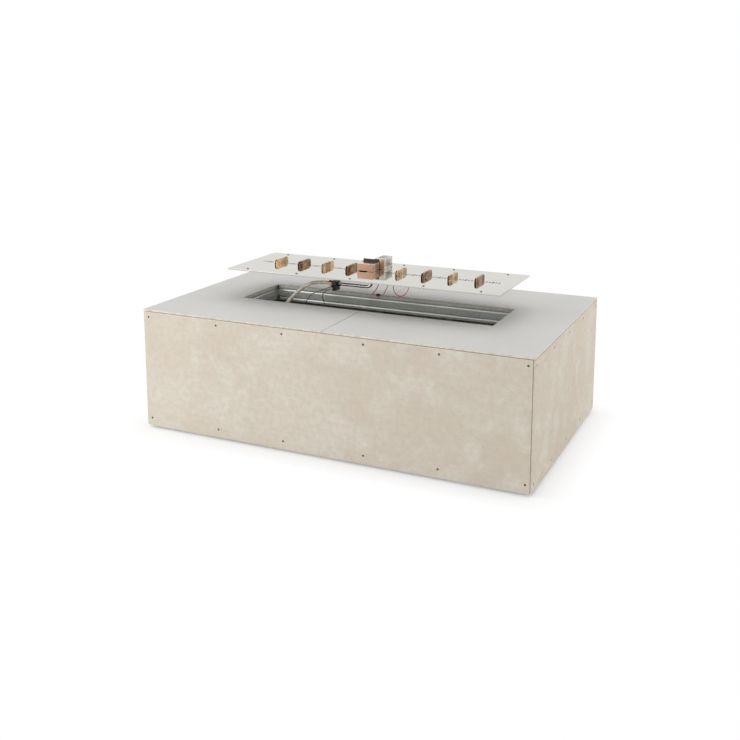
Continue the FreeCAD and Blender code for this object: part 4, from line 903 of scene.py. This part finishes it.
def node(tree, kind, inputs=None, **settings):
    """Adds a node. An input is a plain value, or a socket, which is then wired in."""
    made = tree.nodes.new(kind)
    for label, value in settings.items():
        setattr(made, label, value)
    for key, value in (inputs or {}).items():
        if isinstance(value, bpy.types.NodeSocket):
            tree.links.new(value, made.inputs[key])
        else:
            made.inputs[key].default_value = value
    return made


# %% Words for arithmetic
def sums(tree, operation, first, second=0.0):
    """Plain arithmetic with one value or two."""
    return node(tree, "ShaderNodeMath", {0: first, 1: second}, operation=operation).outputs[0]


def times(tree, first, *others):
    """Multiplies values."""
    for other in others:
        first = sums(tree, "MULTIPLY", first, other)
    return first


def vector_sums(tree, operation, first, second=(0.0, 0.0, 0.0)):
    """Vector arithmetic; gives a vector, or the value of a length or a dot product."""
    made = node(tree, "ShaderNodeVectorMath", {0: first, 1: second}, operation=operation)
    return made.outputs[1 if operation in ("LENGTH", "DOT_PRODUCT") else 0]


def remap(tree, value, low, high, to_low=0.0, to_high=1.0):
    """Stretches a range of values to another one and clamps the rest."""
    return node(tree, "ShaderNodeMapRange",
                {0: value, 1: low, 2: high, 3: to_low, 4: to_high}).outputs[0]


def blend_colours(tree, factor, first, second):
    """Mixes two colours by a mask."""
    return node(tree, "ShaderNodeMix", {0: factor, 6: first, 7: second},
                data_type="RGBA").outputs[2]


# %% Words for patterns
def own_place(tree, stretch=None):
    """The piece's own coordinates in metres, stretched along its axes where that is asked for."""
    spot = node(tree, "ShaderNodeTexCoord").outputs["Object"]
    return spot if stretch is None else vector_sums(tree, "MULTIPLY", spot, stretch)


def noise(tree, scale, spot=None, detail=2.0, roughness=0.5, output="Fac"):
    """A cloudy pattern from 0 to 1."""
    inputs = {"Vector": own_place(tree) if spot is None else spot, "Scale": scale,
              "Detail": detail, "Roughness": roughness}
    return node(tree, "ShaderNodeTexNoise", inputs).outputs[output]


def true_normal(tree):
    """The way that the surface itself faces."""
    return node(tree, "ShaderNodeNewGeometry").outputs["Normal"]


# %% Words for node groups
def new_group(name, inputs, outputs):
    """An empty node group with named sockets, with its inner input and output nodes."""
    group = bpy.data.node_groups.new(name, "ShaderNodeTree")
    for label, kind, value in inputs:
        socket = group.interface.new_socket(label, in_out="INPUT", socket_type="NodeSocket" + kind)
        socket.default_value = value
    for label, kind in outputs:
        group.interface.new_socket(label, in_out="OUTPUT", socket_type="NodeSocket" + kind)
    given = group.nodes.new("NodeGroupInput").outputs
    return group, given, group.nodes.new("NodeGroupOutput").inputs


def put_out(tree, result, **values):
    """Wires values to a group's outputs, which finishes it."""
    for label, value in values.items():
        tree.links.new(value, result[label])
    print("group", tree.name, "has", len(tree.nodes), "nodes")


def place(tree, group, values=None):
    """Puts a node group into a tree with its own values, and gives its outputs."""
    return node(tree, "ShaderNodeGroup", values, node_tree=group).outputs


# %% Group: cloudy tone
tree, given, result = new_group(
    "tone clouds",
    [("First", "Color", shade(200, 200, 200)), ("Second", "Color", shade(150, 150, 150)),
     ("Scale", "Float", 5.0), ("Low", "Float", 0.35), ("High", "Float", 0.65)],
    [("Color", "Color"), ("Mask", "Float")])
cloud = noise(tree, given["Scale"], detail=4.0, roughness=0.55)
mask = remap(tree, cloud, given["Low"], given["High"])
put_out(tree, result, Mask=mask, Color=blend_colours(tree, mask, given["First"], given["Second"]))
tone_clouds = tree

# %% [markdown]
# Edges wear first. The Bevel node gives the normal that a rounded edge would have, and where that
# differs from the true normal there is an edge. A noise breaks the line up, because wear is never
# even.

# %% Group: worn edges
tree, given, result = new_group(
    "worn edges", [("Width", "Float", 0.001), ("Grain", "Float", 120.0), ("Cover", "Float", 0.5)],
    [("Mask", "Float")])
rounded = node(tree, "ShaderNodeBevel", {"Radius": given["Width"]}, samples=4).outputs[0]
sameness = vector_sums(tree, "DOT_PRODUCT", rounded, true_normal(tree))
edge = remap(tree, sameness, 0.995, 0.86)
patchy = noise(tree, given["Grain"], detail=3.0)
bare = sums(tree, "SUBTRACT", 1.0, given["Cover"])
kept = remap(tree, patchy, times(tree, bare, 0.75), sums(tree, "ADD", bare, 0.1))
put_out(tree, result, Mask=times(tree, edge, kept))
worn_edges = tree

# %% Group: grain
tree, given, result = new_group(
    "surface grain", [("Scale", "Float", 400.0), ("Stretch", "Vector", (1.0, 1.0, 1.0))],
    [("Height", "Float"), ("Mask", "Float")])
fine = noise(tree, given["Scale"], own_place(tree, given["Stretch"]), 5.0, 0.65)
put_out(tree, result, Height=fine, Mask=remap(tree, fine, 0.38, 0.62))
surface_grain = tree

# %% [markdown]
# Dust settles on what faces up. The upward part of the surface's normal, broken up by a noise, is
# the mask.

# %% Group: settled dust
tree, given, result = new_group(
    "settled dust", [("Amount", "Float", 0.3), ("Scale", "Float", 14.0)], [("Mask", "Float")])
normal = node(tree, "ShaderNodeSeparateXYZ", {0: true_normal(tree)}).outputs
level = remap(tree, normal["Z"], 0.3, 0.95)
drift = remap(tree, noise(tree, given["Scale"], detail=6.0, roughness=0.7), 0.35, 0.75)
put_out(tree, result, Mask=times(tree, level, drift, given["Amount"]))
settled_dust = tree

# %% [markdown]
# Scratches are the thin borders between the cells of a Voronoi texture. A noise bends them, and
# another one lets only some of them show.

# %% Group: scuffs
def cells(tree, scale, spot, output, **settings):
    """A pattern of cells round scattered points."""
    return node(tree, "ShaderNodeTexVoronoi", {"Vector": spot, "Scale": scale},
                **settings).outputs[output]


tree, given, result = new_group(
    "scuffs", [("Scale", "Float", 30.0), ("Amount", "Float", 0.5)], [("Mask", "Float")])
shifted = vector_sums(tree, "ADD", own_place(tree), noise(tree, 9.0, output="Color"))
border = cells(tree, given["Scale"], shifted, "Distance", feature="DISTANCE_TO_EDGE")
some = remap(tree, noise(tree, 22.0), 0.5, 0.66)
put_out(tree, result, Mask=times(tree, remap(tree, border, 0.02, 0.0), some, given["Amount"]))
scuffs = tree
print("shared effects:", ", ".join(group.name for group in bpy.data.node_groups))

# %% [markdown]
# Every finish goes the same way: a base colour, then layers of other colours over it, each by a
# share of its own mask. A mask is a patch of cloud, a worn edge, dust or whatever else varies.

# %% Words for materials
def new_material(name, plain=None):
    """A material with its Principled shader, on which the values that don't vary are set."""
    material = bpy.data.materials.new(name)
    material.use_nodes = True
    shader = material.node_tree.nodes["Principled BSDF"]
    for label, value in (plain or {}).items():
        shader.inputs[label].default_value = value
    return material, material.node_tree, shader


def clouds(tree, first, second, scale, low, high):
    """Two colours that change over in cloudy patches, and the mask of the second."""
    return place(tree, tone_clouds, {"First": shade(*first), "Second": shade(*second),
                                     "Scale": scale, "Low": low, "High": high})


def patches(tree, scale, low, high):
    """The mask of cloudy patches alone."""
    return place(tree, tone_clouds, {"Scale": scale, "Low": low, "High": high})["Mask"]


def wear(tree, width, grain, cover):
    """The mask of worn edges; the width is in millimetres."""
    return place(tree, worn_edges, {"Width": width * MM, "Grain": grain, "Cover": cover})["Mask"]


def layered(tree, base, *layers):
    """Lays colours over a base one after the other, each by a share of its mask."""
    for mask, share, colour in layers:
        base = blend_colours(tree, times(tree, mask, share), base, shade(*colour))
    return base


# %% Words for the shader's inputs
def colour_by(tree, shader, colour):
    """Wires a finished colour to the shader."""
    tree.links.new(colour, shader.inputs["Base Color"])


def roughen(tree, shader, base, mask=None, share=0.0):
    """Sets a roughness that changes over the surface, which a mask may raise by a share."""
    if mask is not None:
        base = sums(tree, "ADD", base, times(tree, mask, share))
    tree.links.new(base, shader.inputs["Roughness"])


def raise_surface(tree, shader, height, depth):
    """Feeds a height map through a Bump node; the depth is in millimetres."""
    bump = node(tree, "ShaderNodeBump", {"Height": height, "Distance": depth * MM})
    tree.links.new(bump.outputs["Normal"], shader.inputs["Normal"])


# %% [markdown]
# ## Cement board
#
# Cement board is a slab of cement with a glass-fibre mesh pressed into both faces. Its sides here
# are warm beige and blotchy, with faint level streaks from the roller, small dark grains and pits.
# The pits are pressed in and also coloured darker, which is painted shade in them. The tops show
# the smoother grey face, and their cut edges show the beige core. The mesh is three sets of fine
# waves, of which two show on any face.

# %% Group: cement face
def heights(tree, *weighted):
    """Adds height maps, each with a weight."""
    total = None
    for weight, height in weighted:
        part = times(tree, height, weight)
        total = part if total is None else sums(tree, "ADD", total, part)
    return total


MESH_SCALE, SPECK_SCALE, PIT_SCALE, GRIT_SCALE = 78.0, 280.0, 90.0, 300.0
tree, given, result = new_group(
    "cement face", [("Streak Scale", "Float", 16.0)],
    [("Streaks", "Float"), ("Specks", "Float"), ("Pits", "Float"), ("Height", "Float")])
spot = own_place(tree)
streak = noise(tree, given["Streak Scale"], own_place(tree, (0.35, 0.35, 4.0)), 5.0)
speck = noise(tree, SPECK_SCALE, spot, 1.0)
# pits sink the surface, and the finishes also colour them darker as painted shade
pit = remap(tree, cells(tree, PIT_SCALE, spot, "Distance"), 0.16, 0.05)
pits = times(tree, pit, remap(tree, noise(tree, 24.0, spot), 0.56, 0.62))
woven = 0.0
for direction in ("X", "Y", "Z"):
    wave = node(tree, "ShaderNodeTexWave", {"Vector": spot, "Scale": MESH_SCALE, "Distortion": 0.6},
                bands_direction=direction)
    woven = sums(tree, "ADD", wave.outputs["Fac"], woven)
grit = noise(tree, GRIT_SCALE, spot, 5.0, 0.7)
put_out(tree, result, Streaks=remap(tree, streak, 0.36, 0.66),
        Specks=remap(tree, speck, 0.66, 0.72), Pits=pits,
        Height=heights(tree, (0.05, woven), (0.8, grit), (-1.2, pits)))
cement_face = tree

# %% Beige sides
board_sides, tree, shader = new_material("beige_cement", {"Specular IOR Level": 0.25})
broad = clouds(tree, (214, 207, 195), (205, 195, 180), 2.1, 0.34, 0.66)
face = place(tree, cement_face, {"Streak Scale": 30.0})
colour_by(tree, shader, layered(tree, broad["Color"],
                                (patches(tree, 4.5, 0.5, 0.7), 0.6, (207, 192, 180)),
                                (patches(tree, 8.0, 0.47, 0.63), 0.6, (219, 217, 208)),
                                (patches(tree, 46.0, 0.4, 0.62), 0.38, (196, 184, 166)),
                                (face["Streaks"], 0.25, (198, 187, 170)),
                                (face["Specks"], 0.6, (146, 134, 116)),
                                # painted shade: the pits are coloured darker
                                (face["Pits"], 0.35, (160, 148, 132)),
                                (wear(tree, 2.2, 90.0, 0.6), 0.55, (228, 224, 214))))
roughen(tree, shader, remap(tree, face["Streaks"], 0.0, 1.0, 0.82, 0.94))
raise_surface(tree, shader, face["Height"], 0.35)
print("beige sides:", len(tree.nodes), "nodes")

# %% Grey tops
board_tops, tree, shader = new_material("grey_cement", {"Specular IOR Level": 0.3})
broad = clouds(tree, (208, 207, 203), (200, 199, 196), 2.6, 0.3, 0.7)
core = clouds(tree, (222, 215, 199), (196, 186, 166), 60.0, 0.4, 0.7)
small = patches(tree, 26.0, 0.45, 0.75)
face = place(tree, cement_face, {"Streak Scale": 9.0})
# painted shade: the pits on the grey tops are coloured darker too
smooth_face = layered(tree, broad["Color"], (small, 0.35, (212, 210, 205)),
                      (face["Specks"], 0.35, (158, 158, 156)), (face["Pits"], 0.4, (165, 164, 160)))
normal = node(tree, "ShaderNodeSeparateXYZ", {0: true_normal(tree)}).outputs
level = remap(tree, sums(tree, "ABSOLUTE", normal["Z"]), 0.55, 0.85)
cut_or_face = blend_colours(tree, level, core["Color"], smooth_face)
colour_by(tree, shader, layered(tree, cut_or_face,
                                (wear(tree, 2.0, 110.0, 0.5), 0.5, (219, 216, 206))))
roughen(tree, shader, remap(tree, small, 0.0, 1.0, 0.7, 0.86))
raise_surface(tree, shader, face["Height"], 0.2)
print("grey tops:", len(tree.nodes), "nodes")

# %% [markdown]
# ## Galvanised steel
#
# Hot-dipped zinc sets in crystals, the spangle: flat patches a few millimetres wide, each with its
# own brightness and gloss. A Voronoi texture gives just that. The rolled ribs need nothing more,
# because their slopes catch the light by themselves.

# %% Group: zinc spangle
tree, given, result = new_group(
    "zinc spangle", [("Scale", "Float", 130.0)], [("Tone", "Float"), ("Height", "Float")])
wobble = vector_sums(tree, "MULTIPLY", noise(tree, 60.0, output="Color"), (0.012, 0.012, 0.012))
moved = vector_sums(tree, "ADD", own_place(tree), wobble)
crystal = node(tree, "ShaderNodeTexVoronoi", {"Vector": moved, "Scale": given["Scale"]}).outputs
tone = node(tree, "ShaderNodeSeparateColor", {0: crystal["Color"]}).outputs[0]
put_out(tree, result, Tone=tone, Height=times(tree, crystal["Distance"], tone))
zinc_spangle = tree

# %% Galvanised frame
galvanised_frame, tree, shader = new_material("galvanised_frame", {"Metallic": 0.5})
crystals = place(tree, zinc_spangle)
dust = place(tree, settled_dust, {"Amount": 0.2})["Mask"]
body = blend_colours(tree, crystals["Tone"], shade(232, 234, 228), shade(222, 225, 219))
body = layered(tree, body, (patches(tree, 7.0, 0.42, 0.7), 0.3, (176, 178, 174)),
               (wear(tree, 1.2, 150.0, 0.6), 0.6, (226, 227, 224)))
colour_by(tree, shader, blend_colours(tree, dust, body, shade(190, 184, 172)))
roughen(tree, shader, remap(tree, crystals["Tone"], 0.0, 1.0, 0.37, 0.4), dust, 0.4)
grain = place(tree, surface_grain, {"Scale": 700.0})
uneven = heights(tree, (0.6, crystals["Height"]), (0.25, grain["Height"]))
raise_surface(tree, shader, uneven, 0.003)
print("galvanised frame:", len(tree.nodes), "nodes")

# %% [markdown]
# ## Polished stainless
#
# The plate mirrors what stands on it, so it needs a very low roughness. It isn't a perfect mirror:
# the rolling left faint lines along its length, and hands left smudges, which show as patches of
# slightly higher roughness. Round each gas jet the flame left a dark stain. A stain is worked out
# from how far a point lies from the nearest jet. It is longer across the row than along it, and
# the one on a slot is the largest of its group of five. None lies past the last group.

# %% Group: flame stains
tree, given, result = new_group(
    "flame stains",
    [("Pitch", "Float", 0.105), ("Jet Pitch", "Float", 0.012), ("Size", "Float", 0.0049)],
    [("Mask", "Float")])
spot = node(tree, "ShaderNodeSeparateXYZ", {0: own_place(tree)}).outputs
half_pitch = times(tree, given["Pitch"], 0.5)
from_slot = sums(tree, "SUBTRACT", half_pitch, sums(tree, "PINGPONG", spot["X"], half_pitch))
from_jet = sums(tree, "PINGPONG", from_slot, times(tree, given["Jet Pitch"], 0.5))
across = times(tree, spot["Y"], 0.3)
away = sums(tree, "SQRT", sums(tree, "ADD", sums(tree, "POWER", from_jet, 2.0),
                               sums(tree, "POWER", across, 2.0)))
steps = sums(tree, "DIVIDE", from_slot, given["Jet Pitch"])
size = times(tree, given["Size"], remap(tree, steps, 0.6, 0.4, 1.0, 1.3))
near = remap(tree, sums(tree, "DIVIDE", away, size), 1.0, 0.5)
in_row = remap(tree, steps, 2.6, 2.4)
short_of_ends = remap(tree, sums(tree, "ABSOLUTE", spot["X"]), 0.53, 0.52)
put_out(tree, result, Mask=times(tree, near, times(tree, in_row, short_of_ends)))
flame_stains = tree

# %% Stainless plate and trough
def stainless(name, steel, gloss, smudge, stretch, stained=False):
    """Polished sheet with faint lines along one way, smudges and stains round the gas jets."""
    material, tree, shader = new_material(name, {"Metallic": 1.0})
    lines = place(tree, surface_grain, {"Scale": 60.0, "Stretch": stretch})
    tones = clouds(tree, steel, [v - 10 for v in steel], 3.0, 0.35, 0.7)
    layers = [(lines["Mask"], 0.12, (190, 192, 188)),
              (wear(tree, 1.0, 200.0, 0.7), 0.5, (240, 240, 238))]
    if stained:
        layers.append((place(tree, flame_stains)["Mask"], 1.0, (52, 45, 38)))
    colour_by(tree, shader, layered(tree, tones["Color"], *layers))
    prints = remap(tree, patches(tree, 16.0, 0.52, 0.75), 0.0, 1.0, gloss, gloss + smudge)
    marks = place(tree, scuffs, {"Scale": 34.0, "Amount": 0.25})["Mask"]
    lined = sums(tree, "ADD", prints, times(tree, lines["Mask"], 0.02))
    roughen(tree, shader, lined, marks, 0.3)
    raise_surface(tree, shader, lines["Height"], 0.006)
    return material


polished_plate = stainless("polished_stainless", (202, 200, 191), 0.03, 0.05,
                           stretch=(1.0, 26.0, 26.0), stained=True)
welded_trough = stainless("welded_stainless_trough", (196, 197, 193), 0.2, 0.15,
                          stretch=(1.0, 20.0, 20.0))
print("stainless finishes: plate and trough")

# %% [markdown]
# ## Brass, copper and zinc plate
#
# The tabs are bare brass. Every second one is coloured a bright cream brass, which is partly
# painted reflection, and its neighbours a darker browned brass, which is partly heat browning and
# partly painted shade; the hood is copper-toned sheet. A metal's colour is in its reflection, so
# the base colour carries it.
# Brown patches are mixed in by a noise, and the edges, which are handled and rubbed, stay bright.

# %% Coloured metals
def coloured_metal(name, bright, brown, gloss, cloud_scale, brown_share=0.8, edge=0.7):
    """Bare metal between a bright and a browned colour, with rubbed edges and fine scratches."""
    material, tree, shader = new_material(name, {"Metallic": 1.0})
    browned = patches(tree, cloud_scale, 0.4, 0.68)
    lines = place(tree, surface_grain, {"Scale": 300.0, "Stretch": (1.0, 0.15, 1.0)})
    rubbed = [min(v + 30, 250) for v in bright]
    colour_by(tree, shader, layered(tree, shade(*bright), (browned, brown_share, brown),
                                    (lines["Mask"], 0.2, brown),
                                    (wear(tree, 1.2, 170.0, 0.75), edge, rubbed)))
    marks = place(tree, scuffs, {"Scale": 60.0, "Amount": 0.35})["Mask"]
    roughen(tree, shader, remap(tree, browned, 0.0, 1.0, gloss, gloss + 0.14), marks, 0.3)
    raise_surface(tree, shader, lines["Height"], 0.02)
    return material


METALS = {name: coloured_metal(name, *values) for name, *values in (
    # every second tab gets a bright cream brass as painted reflection, and the others a darker
    # browned brass that is partly painted shade
    ("browned_brass_painted_darker", (182, 142, 108), (62, 44, 35), 0.1, 44.0, 1.0, 0.15),
    ("brass_painted_bright_reflection", (240, 206, 164), (108, 74, 51), 0.1, 40.0, 1.0, 0.15),
    ("copper_sheet", (226, 190, 168), (158, 114, 96), 0.1, 26.0, 0.6),
    ("heated_guard_steel", (224, 220, 211), (138, 127, 112), 0.12, 34.0, 0.7, 0.4),
    ("copper_nut", (224, 176, 150), (170, 118, 94), 0.24, 60.0, 0.6),
    ("turned_brass", (214, 182, 110), (158, 124, 70), 0.22, 70.0, 0.6),
    ("bright_zinc", (214, 213, 208), (168, 166, 158), 0.18, 60.0, 0.5),
    # painted shade: the board screws are coloured dark brown, standing in for the shade in their
    # sunk recesses
    ("dull_zinc_screws", (112, 102, 91), (66, 55, 45), 0.36, 160.0, 0.9, 0.3),
    ("dark_pan_screws", (120, 114, 106), (66, 58, 50), 0.3, 160.0, 0.8, 0.3))}
print("coloured metals:", ", ".join(METALS))

# %% [markdown]
# ## Black parts, ceramic and rubber
#
# Moulded black plastic isn't black all over: its fine leathery texture catches light, edges turn
# grey and dust lies on top. Wires and leads are softer, so their texture is finer and their shine
# lower.

# %% Moulded and coated parts
def moulded(name, body_shade, worn_shade, rough, texture, depth, dusty, plain=None):
    """Plastic, enamel or rubber with a fine texture, greyed edges and dust."""
    material, tree, shader = new_material(name, plain)
    tones = clouds(tree, body_shade, [v * 1.35 for v in body_shade], 30.0, 0.35, 0.7)
    marks = place(tree, scuffs, {"Scale": 70.0, "Amount": 0.5})["Mask"]
    body = layered(tree, tones["Color"], (marks, 0.5, worn_shade),
                   (wear(tree, 0.8, 220.0, 0.5), 0.6, worn_shade))
    dust = place(tree, settled_dust, {"Amount": dusty, "Scale": 30.0})["Mask"]
    colour_by(tree, shader, blend_colours(tree, dust, body, shade(170, 164, 152)))
    grain = place(tree, surface_grain, {"Scale": texture})
    grainy = remap(tree, grain["Mask"], 0.0, 1.0, rough - 0.06, rough + 0.08)
    roughen(tree, shader, grainy, dust, 0.3)
    raise_surface(tree, shader, grain["Height"], depth)
    return material


COVERS = {name: moulded(name, *values) for name, *values in (
    ("black_moulding", (26, 26, 27), (82, 80, 77), 0.5, 900.0, 0.06, 0.12),
    ("cast_black", (24, 22, 21), (92, 84, 76), 0.42, 500.0, 0.12, 0.1),
    # black_enamel goes only on the strip on the hood's roof, where its black is partly painted
    # shade
    ("black_enamel", (30, 25, 22), (106, 92, 80), 0.28, 260.0, 0.02, 0.06,
     {"Coat Weight": 0.4, "Coat Roughness": 0.12}),
    ("glazed_ceramic", (232, 228, 218), (206, 198, 182), 0.16, 220.0, 0.02, 0.05,
     {"Coat Weight": 0.6, "Coat Roughness": 0.05}),
    ("hose_jacket", (190, 181, 164), (214, 207, 194), 0.36, 500.0, 0.05, 0.12),
    ("black_wire_cover", (34, 35, 36), (88, 88, 86), 0.4, 900.0, 0.03, 0.08),
    ("red_silicone", (178, 74, 78), (204, 128, 124), 0.45, 700.0, 0.03, 0.1))}
print("moulded and coated finishes:", ", ".join(COVERS))

# %% [markdown]
# ## Giving every piece its finish
#
# The pieces made here get their material by name. The steel members, whose shapes are right as the
# construction gives them, stay and get theirs in their own slots.

# %% Finishes by name
def finish(piece, material, slot):
    """Gives a piece its material; the slot, the record's name for the finish, is not used."""
    piece.data.materials.clear()
    piece.data.materials.append(material)


zinc_plate, black_moulding = METALS["bright_zinc"], COVERS["black_moulding"]
black_wire, red_silicone = COVERS["black_wire_cover"], COVERS["red_silicone"]
FINISHES = {
    # the board screws' dark colour is painted shade for their recesses
    "flush_screws": (METALS["dull_zinc_screws"], "zinc_plate"),
    "plate_sheet": (polished_plate, "polished_stainless"),
    "copper_hood": (METALS["copper_sheet"], "copper_tone"),
    "black_strip": (COVERS["black_enamel"], "black_enamel"),
    "slotted_guard": (METALS["heated_guard_steel"], "zinc_plate"),
    "ceramic_electrode": (COVERS["glazed_ceramic"], "ceramic_white"),
    "hose_nut": (METALS["copper_nut"], "copper_tone"),
    "black_valve": (COVERS["cast_black"], "black_plastic"),
    "bright_tube": (zinc_plate, "zinc_plate"), "valve_strip": (zinc_plate, "zinc_plate"),
    "pan_screws": (METALS["dark_pan_screws"], "zinc_plate"),
    "track_nuts": (zinc_plate, "zinc_plate"),
    "brass_union": (METALS["turned_brass"], "tab_brass"),
    "ignition_box": (black_moulding, "black_plastic"),
    "crimp_connector": (black_moulding, "black_plastic"),
}
CORD_FINISHES = {
    "gas_hose": (COVERS["hose_jacket"], "hose_cover"),
    "control_wire_left": (black_wire, "black_rubber"),
    "control_wire_right": (black_wire, "black_rubber"),
    "spark_lead": (red_silicone, "red_rubber"), "return_lead": (red_silicone, "red_rubber"),
    "sensor_lead": (red_silicone, "red_rubber"),
}
# the tabs take the two brasses in turn: painted reflection on one, darker painted shade on the next
TAB_BRASS = (METALS["browned_brass_painted_darker"], METALS["brass_painted_bright_reflection"])
print("named finishes:", len(FINISHES) + len(CORD_FINISHES))

# %% Every piece made here
for name, piece in pieces.items():
    if name.endswith("_board"):
        finish(piece, board_sides, "cement_board")
    elif name.endswith("_slab"):
        finish(piece, board_tops, "cement_board")
    elif name.endswith("_lining_stud"):
        finish(piece, galvanised_frame, "galvanised_steel")
    elif name.startswith("folded_tab"):
        finish(piece, TAB_BRASS[int(name[-1]) % 2], "tab_brass")
    elif name.endswith("_screw"):
        finish(piece, black_moulding, "foot_plastic")
    else:
        finish(piece, *FINISHES[name])
for name, piece in cords.items():
    finish(piece, *CORD_FINISHES[name])
print("pieces with a finish:", len(pieces) + len(cords))

# %% Finishes of the construction's own members
MEMBER_FINISHES = {"burner_chamber": welded_trough, "gas_inlet_hanger": zinc_plate,
                   "module_bracket": zinc_plate}
for name in nodes:
    if name.endswith(("_track", "_seam_joist", "_studs")) or name == "clip_angles":
        MEMBER_FINISHES[name] = galvanised_frame
for name, material in MEMBER_FINISHES.items():
    for slot in nodes[name].material_slots:
        slot.material = material
print("members with a finish of their own:", len(MEMBER_FINISHES))

# %% [markdown]
# ## Light and floor
#
# The photograph is a cut-out on white with soft, even light. Three broad lamps and a pale world
# give that: one overhead, and two low ones from the left front and the right back. Both near faces
# are lighter away from the near corner, and light gets in under the lifted plate. The floor is
# plain white paint. Further out it turns into an even white for the camera and for reflections,
# and near the table it stays a real surface, so it keeps the soft shadow.

# %% World
def seen_directly(tree):
    """One where the camera or a mirror looks, and zero where something is only lit."""
    rays = node(tree, "ShaderNodeLightPath").outputs
    looked_at = sums(tree, "MAXIMUM", rays["Is Camera Ray"], rays["Is Glossy Ray"])
    return sums(tree, "MAXIMUM", looked_at, rays["Is Transmission Ray"])


WHITE, WORLD_LIGHT = (1.0, 1.0, 1.0, 1.0), 0.78
world = bpy.data.worlds.new("studio")
world.use_nodes = True
tree = world.node_tree
background = tree.nodes["Background"]
strength = remap(tree, seen_directly(tree), 0.0, 1.0, WORLD_LIGHT, 1.0)
tree.links.new(strength, background.inputs["Strength"])
background.inputs["Color"].default_value = WHITE
bpy.context.scene.world = world
print("world:", len(tree.nodes), "nodes")

# %% Floor
FLOOR_HALF = 8.0
FADE_FROM, FADE_OVER = (0.702, 0.397, 0.0), 0.17
floor_mesh = bpy.data.meshes.new("floor")
floor_mesh.from_pydata([(-FLOOR_HALF, -FLOOR_HALF, 0), (FLOOR_HALF, -FLOOR_HALF, 0),
                        (FLOOR_HALF, FLOOR_HALF, 0), (-FLOOR_HALF, FLOOR_HALF, 0)],
                       [], [(0, 1, 2, 3)])
floor = add_object("floor", floor_mesh)
floor_paint, tree, shader = new_material(
    "floor_paint",
    {"Base Color": shade(250, 250, 250), "Roughness": 0.9, "Specular IOR Level": 0.0})
glow = node(tree, "ShaderNodeEmission", {"Strength": 1.0})
from_middle = vector_sums(tree, "ABSOLUTE", own_place(tree))
past_table = vector_sums(tree, "SUBTRACT", from_middle, FADE_FROM)
away = vector_sums(tree, "LENGTH", vector_sums(tree, "MAXIMUM", past_table))
glowing = times(tree, remap(tree, away, 0.0, FADE_OVER), seen_directly(tree))
both = node(tree, "ShaderNodeMixShader", {0: glowing, 1: shader.outputs[0], 2: glow.outputs[0]})
tree.links.new(both.outputs[0], tree.nodes["Material Output"].inputs["Surface"])
floor_mesh.materials.append(floor_paint)
print("floor:", 2 * FLOOR_HALF, "m wide, white", FADE_OVER, "m past the table's foot")

# %% Lamps
for name, at, target, size, watts in (
        ("overhead", (0.2, 0.3, 3.6), (0.0, 0.0, 0.4), 3.0, 16.0),
        ("left_front", (-2.3, -2.1, 1.4), (-0.5, -0.3, 0.35), 1.8, 31.0),
        ("right_back", (3.4, 1.5, 1.7), (0.6, 0.2, 0.35), 2.7, 26.0)):
    data = bpy.data.lights.new(name, "AREA")
    data.shape = "SQUARE"
    data.size = size
    data.energy = watts
    aim(add_object(name, data), at, target)
